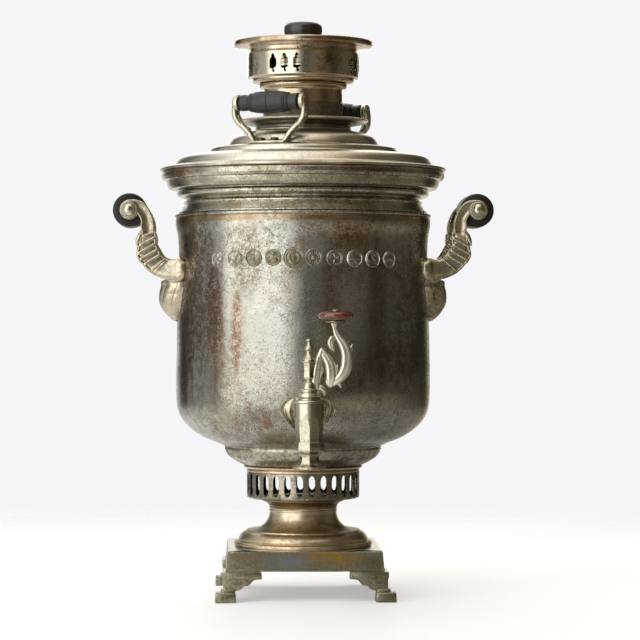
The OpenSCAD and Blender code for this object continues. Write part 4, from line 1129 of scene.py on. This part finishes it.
bm = bmesh.new()
T = Matrix.Translation((0, TY, 0))
rows = []
big = 99.0
def row(rc, ap, z): rows.append((rc, ap, z))
row(5.0, big, 129.0); row(11.6, big, 129.0); row(13.4, big, 129.2); row(14.4, big, 129.9); row(14.5, big, 130.9); row(13.6, 13.4, 131.8)
row(12.2, 11.6, 132.6); row(11.2, 10.2, 133.6); row(10.2, 9.2, 135.0); row(9.8, 8.6, 136.8); row(9.6, 8.2, 139.0)
row(9.8, 8.2, 141.6); row(10.4, 8.7, 142.8); row(11.8, 10.0, 143.8); row(13.4, 11.5, 144.8); row(14.6, 12.4, 146.0)
row(14.8, 12.7, 148.4); row(14.8, 12.7, 151.2); row(14.2, 12.4, 152.6); row(13.4, 11.8, 153.6); row(12.8, 11.2, 154.2); row(12.5, 10.9, 154.8)
for k in range(0, 31):
    z = 155.8 + (188.0 - 155.8) * k / 30
    f = k / 30
    row(12.3 + 1.2 * f, 10.9 + 2.6 * min(1.0, f / 0.74) ** 1.3, z)
row(13.0, big, 188.2); row(13.9, big, 188.5); row(14.4, big, 189.2); row(14.4, big, 190.3); row(13.9, big, 190.95); row(12.4, big, 191.1); row(8.8, big, 191.1)
row(8.6, big, 185.0); row(7.4, big, 152.0); row(5.0, big, 150.0)
rows.append(rows[0])
rings = faceted(bm, rows, 128, 8, T)
# shank to the wall
sh = spline([(4.5, 0, S), (8.0, 0, S), (8.0, 28, S), (8.6, 34), (9.6, 39, S), (9.6, 41.5, S), (4.5, 41.5, S)], 5)
sh = [(4.5, -2.0), (8.0, -2.0), (8.0, 30.0), (8.4, 34.0), (9.4, 38.0), (9.4, 41.0), (4.5, 41.0)]
add_lathe(bm, [Vector(p) for p in sh], 48, frame=Matrix.Translation((0, -112, 175)) @ Matrix.Rotation(math.radians(90), 4, "X"))
finish_bm("tap_body_cast", bm, M_cast, "root", ["tap_body"], sharp=24, weld=0.02)

# leaf escutcheon: two cupped, fluted lobes standing off the wall
bm = bmesh.new()
nb, na = 40, 96
front, back = [], []
for j in range(nb + 1):
    bq = j / nb
    zc = 157.6 + 35.0 * bq
    hw = 9.0 + 16.4 * math.sin(min(1.0, bq / 0.70) * math.pi / 2) ** 1.5
    if bq > 0.70:
        hw = 25.4 * math.sqrt(max(0.0, 1 - ((bq - 0.70) / 0.30) ** 2 * 0.78))
    rf, rb = [], []
    for i in range(na + 1):
        aq = -1 + 2 * i / na
        xx = aq * hw * (1.0 + 0.03 * math.cos(bq * 21.0) * abs(aq) ** 3)
        s2 = max(0.0, (abs(xx) - 7.0) / max(1.0, hw - 7.0)) if hw > 8 else 0.0
        body = math.sin(math.pi * min(1.0, 0.10 + bq * 0.88)) ** 0.6
        petal = 8.6 * math.exp(-((s2 - 0.20) / 0.27) ** 2)
        rim2 = 5.8 * math.exp(-((s2 - 1.0) / 0.13) ** 2)
        small = 0.9 * math.exp(-((s2 - 0.66) / 0.09) ** 2)
        lift = 0.5 + (petal + rim2 + small) * body
        base = wall_r(max(149.0, zc))
        thin = 1.0 if s2 > 0.55 else 1.0 + (0.55 - s2) * 9
        for off, dest in ((lift + 1.3, rf), (max(0.4, lift + 1.3 - 1.4 * thin), rb)):
            rr = base + off
            dest.append(bm.verts.new((xx, -math.sqrt(max(1.0, rr * rr - xx * xx)), zc)))
    front.append(rf)
    back.append(rb)
for j in range(nb):
    for i in range(na):
        bm.faces.new((front[j][i], front[j][i + 1], front[j + 1][i + 1], front[j + 1][i]))
        bm.faces.new((back[j][i], back[j + 1][i], back[j + 1][i + 1], back[j][i + 1]))
for a, c in ((front[0], back[0]), (front[-1], back[-1])):
    for i in range(na):
        bm.faces.new((a[i], a[i + 1], c[i + 1], c[i]))
for i in (0, na):
    for j in range(nb):
        bm.faces.new((front[j][i], front[j + 1][i], back[j + 1][i], back[j][i]))
finish_bm("tap_escutcheon_cast", bm, M_cast, "root", ["tap_escutcheon"], sharp=45)

# plug with a baluster finial
bm = bmesh.new()
prof = spline([(4.6, 150.3, S), (6.95, 150.3, S), (8.55, 191.2, S), (9.8, 191.25, S), (9.9, 192.2), (9.0, 192.9, S), (7.5, 193.1, S), (7.3, 194.6), (7.5, 198.2, S), (8.2, 198.6), (8.3, 200.0),
               (7.6, 200.7, S), (6.8, 201.4), (6.1, 203.6), (5.0, 206.2), (3.7, 207.6, S), (3.3, 208.2, S), (3.4, 209.4, S), (4.2, 209.9), (4.6, 211.0, S)], 5)
bot = [Vector((r, z)) for r, z in [(0, 206.0), (3.0, 180.5), (4.6, 180.0)]]
stem = [(4.6, big, 211.0), (5.3, 4.5, 211.8), (5.3, 4.5, 213.0)]
loop = prof + [Vector((0, 211.0))] + [Vector((0, 180.5)), Vector((4.6, 180.5))]
add_lathe(bm, loop, 72, frame=T)
rows6 = [(0.001, big, 210.9), (4.7, 4.2, 210.9), (5.6, 4.7, 211.8), (5.2, 4.35, 213.0), (5.1, 4.3, 217), (5.3, 4.5, 222.4), (5.7, 4.9, 223.4), (5.2, 4.8, 224.1), (0.001, big, 224.1)]
faceted(bm, rows6, 72, 6, T)
fin = spline([(0, 223.9, S), (4.6, 223.9, S), (6.2, 224.8), (6.5, 226.0), (6.2, 227.4), (5.6, 228.3, S), (4.2, 230.2), (3.2, 232.4), (2.7, 234.6), (2.9, 235.3, S), (4.1, 236.2), (4.4, 237.2), (3.9, 238.4), (2.7, 240.4),
              (1.9, 242.6), (1.7, 243.6, S), (2.7, 244.0), (2.9, 245.0), (2.0, 246.0), (0, 246.3)], 5)
add_lathe(bm, fin, 64, frame=T)
finish_bm("tap_plug_cast", bm, M_cast, "tap_key", ["tap_plug"], sharp=26)

# vine-like key
def P(x, y, dy=0.0):
    return ((x - 308.2) * 0.897, TY + dy, 272.1 + (310 - y) * 0.897)

bm = bmesh.new()
def vine(pts, rad, flat=0.85, n=22, pp=2.2, mod=None):
    add_sweep(bm, tube_stations([P(*q) for q in pts], rad, flat=flat), sub=7 if FINE else 4, n=n, p=pp, cap=3, mod=mod)

def leafy(u, a):
    c = math.cos(a)
    return 1.0, 1.0 - 0.24 * math.exp(-((c / 0.45) ** 2))

vine([(317.4, 397), (315.6, 391), (314.8, 384), (315.6, 376), (316.8, 368), (318.0, 361), (319.4, 355), (320.2, 350)], [2.6, 3.6, 4.0, 4.2, 3.8, 3.4, 2.8, 1.6], mod=leafy)
vine([(320.2, 349.4), (322.6, 353.6), (326.6, 359), (329.6, 365.5), (330.6, 373), (330.2, 380), (329.4, 386.2)], [1.8, 3.0, 4.2, 4.8, 4.9, 4.4, 2.4], mod=leafy)
vine([(330.5, 384.5), (335.0, 381.5), (340.4, 376.6), (344.6, 369.6), (346.2, 361), (345.8, 353), (343.4, 345.6), (339.4, 339.4), (335.8, 333.6), (334.0, 328), (333.4, 323.4)],
     [2.4, 3.6, 4.6, 5.1, 5.2, 5.0, 4.6, 3.6, 2.7, 2.1, 3.0], mod=leafy)
vine([(335.4, 335.6), (331.8, 338.6), (330.0, 343), (331.0, 347.6), (333.0, 351.4)], [1.4, 2.7, 3.1, 2.3, 0.7], mod=leafy)
vine([(336.4, 380.0), (338.4, 383.6), (340.0, 387.6)], [2.8, 2.3, 0.7])
vine([(334.2, 373.5), (335.4, 369.0), (336.8, 365.0)], [1.8, 1.5, 0.5])
vine([(327.4, 379), (327.0, 383.4), (328.0, 387.0)], [2.2, 1.8, 0.8])
vine([(317.0, 387), (320.4, 388.4), (323.2, 391.4), (323.6, 395.4)], [2.4, 2.8, 2.3, 0.8])
vine([(317.6, 364), (319.6, 367), (320.4, 372), (319.6, 377)], [1.4, 2.0, 1.9, 0.6])
vine([(343.8, 347.6), (346.6, 345.4), (347.6, 342.0)], [3.0, 2.2, 0.6])
vine([(347.0, 352.0), (350.2, 348.6), (351.6, 344.4)], [2.8, 2.1, 0.6])
# small leaf that closes the bend at the top of the first strand
vine([(318.6, 356.4), (320.4, 352.0), (320.8, 348.4)], [2.6, 2.2, 0.9])
# collar that ties the vine to the plug's head
add_lathe(bm, spline([(7.6, 193.6, S), (9.2, 193.8), (9.6, 195.4), (9.2, 197.0), (7.6, 197.2, S)], 4), 48, frame=T)
finish_bm("tap_branch_cast", bm, M_vine, "tap_key", ["tap_branch"], sharp=50)
KX = Matrix.Translation((24.0, TY, 0))
lathe("tap_washer_turned", spline([(0, 260.05, S), (4.0, 260.05), (7.6, 260.4), (8.8, 261.4), (8.6, 262.3), (7.6, 262.65, S), (0, 262.65, S)], 4), M_cast, "tap_key", ["tap_washer"], seg=64, place=KX)
disc = spline([(0, 262.75, S), (7.6, 262.75), (11.8, 263.1), (14.8, 264.4), (15.8, 266.4), (15.6, 268.2), (14.0, 269.8), (10.6, 270.8), (5.6, 271.0, S), (0, 271.0, S)], 6)
lathe("tap_knob_turned", disc, M_cherry, "tap_key", ["tap_knob"], seg=80, place=KX)
scr = spline([(0, 270.9, S), (3.6, 270.9, S), (3.6, 271.6), (2.6, 272.6), (0.5, 273.0, S), (0.5, 272.4, S), (0, 272.4, S)], 4)
lathe("tap_screw_turned", scr, M_steel, "tap_key", ["tap_screw"], seg=32, place=KX)

# ------------------------------------------------------------------ stamped medals, generic rosettes
def medal(bm, ang, z, rad, kind, tilt):
    nr, ns = 30, 84
    a0 = math.radians(ang)
    R0 = wall_r(z, a0 - math.pi / 2)
    rings = []
    for j in range(nr + 1):
        q = j / nr
        ring = []
        for i in range(ns if j else 1):
            th = 2 * math.pi * i / ns + tilt
            h = 0.0
            rim1 = math.exp(-((q - 0.90) / 0.045) ** 2)
            rim2 = math.exp(-((q - 0.76) / 0.03) ** 2)
            h += 0.55 * rim1 + 0.28 * rim2
            if q < 0.72:
                s = q / 0.72
                if kind == 0:      # eight petals
                    h += 0.55 * max(0.0, math.cos(4 * th)) ** 0.6 * math.sin(math.pi * min(1, s * 1.1)) ** 0.7
                elif kind == 1:    # six-pointed star
                    h += 0.5 * max(0.0, 1 - s * (1.35 - 0.5 * math.cos(6 * th))) ** 0.5
                elif kind == 2:    # plain boss with beads
                    h += 0.5 * math.exp(-(s / 0.34) ** 2) + 0.4 * max(0.0, math.cos(14 * th)) * math.exp(-((s - 0.78) / 0.12) ** 2)
                elif kind == 3:    # cross of four leaves
                    h += 0.55 * max(0.0, math.cos(2 * th)) ** 1.4 * math.sin(math.pi * min(1, s)) ** 0.6
                elif kind == 4:    # wreath round a small boss
                    h += 0.4 * (0.6 + 0.4 * math.cos(18 * th + 9 * s)) * math.exp(-((s - 0.62) / 0.16) ** 2) + 0.45 * math.exp(-(s / 0.26) ** 2)
                else:              # turning petals
                    h += 0.5 * max(0.0, math.cos(3 * th + 3.2 * s)) ** 0.8 * math.sin(math.pi * min(1, s)) ** 0.6
            h -= 0.22 * math.exp(-((q - 0.83) / 0.03) ** 2)
            edge = 1.0 if q < 0.94 else max(0.0, (1 - q) / 0.06)
            off = (h * 0.95 + 0.03) * edge - (0.25 if q > 0.985 else 0.0)
            u, v = rad * q * math.cos(th), rad * q * math.sin(th)
            aa = a0 + u / R0
            rr = wall_r(z + v, aa - math.pi / 2) + off
            ring.append(bm.verts.new((rr * math.sin(aa), -rr * math.cos(aa), z + v)))
        rings.append(ring)
    for i in range(ns):
        bm.faces.new((rings[0][0], rings[1][i], rings[1][(i + 1) % ns]))
    for a, c in zip(rings[1:], rings[2:]):
        for k in range(ns):
            bm.faces.new((a[k], c[k], c[(k + 1) % ns], a[(k + 1) % ns]))
    # closed at the back, inside the sheet
    cen = bm.verts.new(((R0 - 0.9) * math.sin(a0), -(R0 - 0.9) * math.cos(a0), z))
    for k in range(ns):
        bm.faces.new((rings[-1][k], cen, rings[-1][(k + 1) % ns]))


bm = bmesh.new()
angs = [-43.8, -33.6, -24.2, -15.2, -5.8, 2.9, 12.2, 21.6, 30.8, 40.2]
for k, a in enumerate(angs):
    medal(bm, a, [319.2, 319.6, 319.9, 320.2, 320.0, 320.3, 319.6, 319.4, 319.2, 319.0][k], 10.4 if k == 4 else 7.9 + 0.2 * ((k * 7) % 3), [0, 3, 1, 5, 4, 2, 0, 1, 5, 3][k], k * 0.7)
finish_bm("medals_stamped", bm, M_medal, "root", (), sharp=60)

# ------------------------------------------------------------------ CAD pieces that keep their shape
keep = {"fire_tube": M_tube, "fire_tube_neck": M_tube, "grate": M_iron, "grip_rods": M_steel, "lid_grip_rods": M_steel, "vent_tube": M_lid, "vent_pin": M_steel, "vent_cap": M_lid}
for n, mm in keep.items():
    ob = frame["nodes"][n]
    ob.data.materials.clear()
    ob.data.materials.append(mm)

# ------------------------------------------------------------------ floor
bm = bmesh.new()
bmesh.ops.create_grid(bm, x_segments=24, y_segments=24, size=2.2)
me = bpy.data.meshes.new("floor")
bm.to_mesh(me)
bm.free()
floor = bpy.data.objects.new("floor", me)
bpy.context.scene.collection.objects.link(floor)
m, t, b, pos = material("pale_floor")
x, y, z = t.xyz(pos)
d = t.math("SQRT", t.add(t.mul(x, x), t.mul(y, y)))
seen = t.new("ShaderNodeLightPath").outputs["Is Camera Ray"]
unseen = t.math("SUBTRACT", 1.0, seen)
pale = t.mix(t.noise(pos, 3.0, 2, 0.5), (0.90, 0.90, 0.905), (0.915, 0.915, 0.92))
t.put(b.inputs["Base Color"], t.mix(t.mul(unseen, t.step(x, -0.06, 0.16, 0.12, 0.80)), pale, (0.13, 0.115, 0.09)))
b.inputs["Roughness"].default_value = 0.45
b.inputs["Specular IOR Level"].default_value = 0.3
t.put(b.inputs["Alpha"], t.step(d, 0.28, 1.25, 1.0, 0.0))
b.inputs["Emission Color"].default_value = (1, 1, 1, 1)
t.put(b.inputs["Emission Strength"], t.mixf(seen, t.step(x, -0.06, 0.16, 0.20, 0.04), 0.36))
me.materials.append(m)

# ------------------------------------------------------------------ light
world = bpy.data.worlds.new("studio")
bpy.context.scene.world = world
world.use_nodes = True
t = Tree(world.node_tree)
out = t.new("ShaderNodeOutputWorld")
dirn = t.new("ShaderNodeTexCoord").outputs["Generated"]
x, y, z = t.xyz(dirn)
az = t.math("MULTIPLY", t.math("ARCTAN2", x, t.mul(y, -1.0)), 180 / math.pi)   # 0 at the camera, + to its right
el = t.math("MULTIPLY", t.math("ARCSINE", z), 180 / math.pi)

def lamp(a0, a1, asoft, e0, e1, esoft, power):
    return t.mul(t.mul(t.box(az, a0, a1, asoft), t.box(el, e0, e1, esoft)), power)

key = lamp(-80, -13, 10, -30, 62, 10, 1.9)
side = lamp(-128, -72, 8, -25, 60, 10, 0.42)
left_top = t.mul(t.mul(t.step(el, 32, 54), t.step(x, 0.10, 0.66, 1.0, 0.0)), 1.3)
back = t.mul(t.step(t.math("ABSOLUTE", az), 146, 162), t.mul(t.step(el, 6, 16, 1.0, 0.0), 0.95))
right = t.add(lamp(10, 50, 20, -40, 50, 12, 0.15), lamp(72, 122, 22, -30, 50, 12, 0.09))
low = t.mul(t.mul(t.step(el, -4, -14), t.step(x, -0.2, 0.5, 0.75, 0.17)), 1.0)
amb = 0.02
tot = t.math("MAXIMUM", key, t.math("MAXIMUM", side, t.math("MAXIMUM", back, t.math("MAXIMUM", left_top, low))))
tot = t.add(t.add(tot, right), amb)
light = t.new("ShaderNodeBackground")
t.put(light.inputs["Color"], t.mix(t.step(x, -0.15, 0.4), (1.0, 0.995, 0.985), (1.0, 0.87, 0.64)))
t.put(light.inputs["Strength"], tot)
view = t.new("ShaderNodeBackground")
view.inputs["Color"].default_value = (0.915, 0.915, 0.93, 1)
view.inputs["Strength"].default_value = 1.0
lp = t.new("ShaderNodeLightPath")
mixs = t.new("ShaderNodeMixShader")
t.t.links.new(lp.outputs["Is Camera Ray"], mixs.inputs[0])
t.t.links.new(light.outputs[0], mixs.inputs[1])
t.t.links.new(view.outputs[0], mixs.inputs[2])
t.t.links.new(mixs.outputs[0], out.inputs[0])

# softbox behind and above, to the left: lights the stepped lid from one side
ld = bpy.data.lights.new("softbox_back", "AREA")
ld.shape = "RECTANGLE"
ld.size, ld.size_y = 0.56, 0.50
ld.energy = 1.5
lo = bpy.data.objects.new("softbox_back", ld)
bpy.context.scene.collection.objects.link(lo)
lo.location = (-0.04, 0.50, 0.70)
lo.rotation_euler = (Vector((-0.05, 0.0, 0.42)) - Vector(lo.location)).to_track_quat("-Z", "Y").to_euler()
lo.visible_camera = False

bpy.context.scene.view_settings.view_transform = "Standard"
bpy.context.scene.view_settings.look = "None"
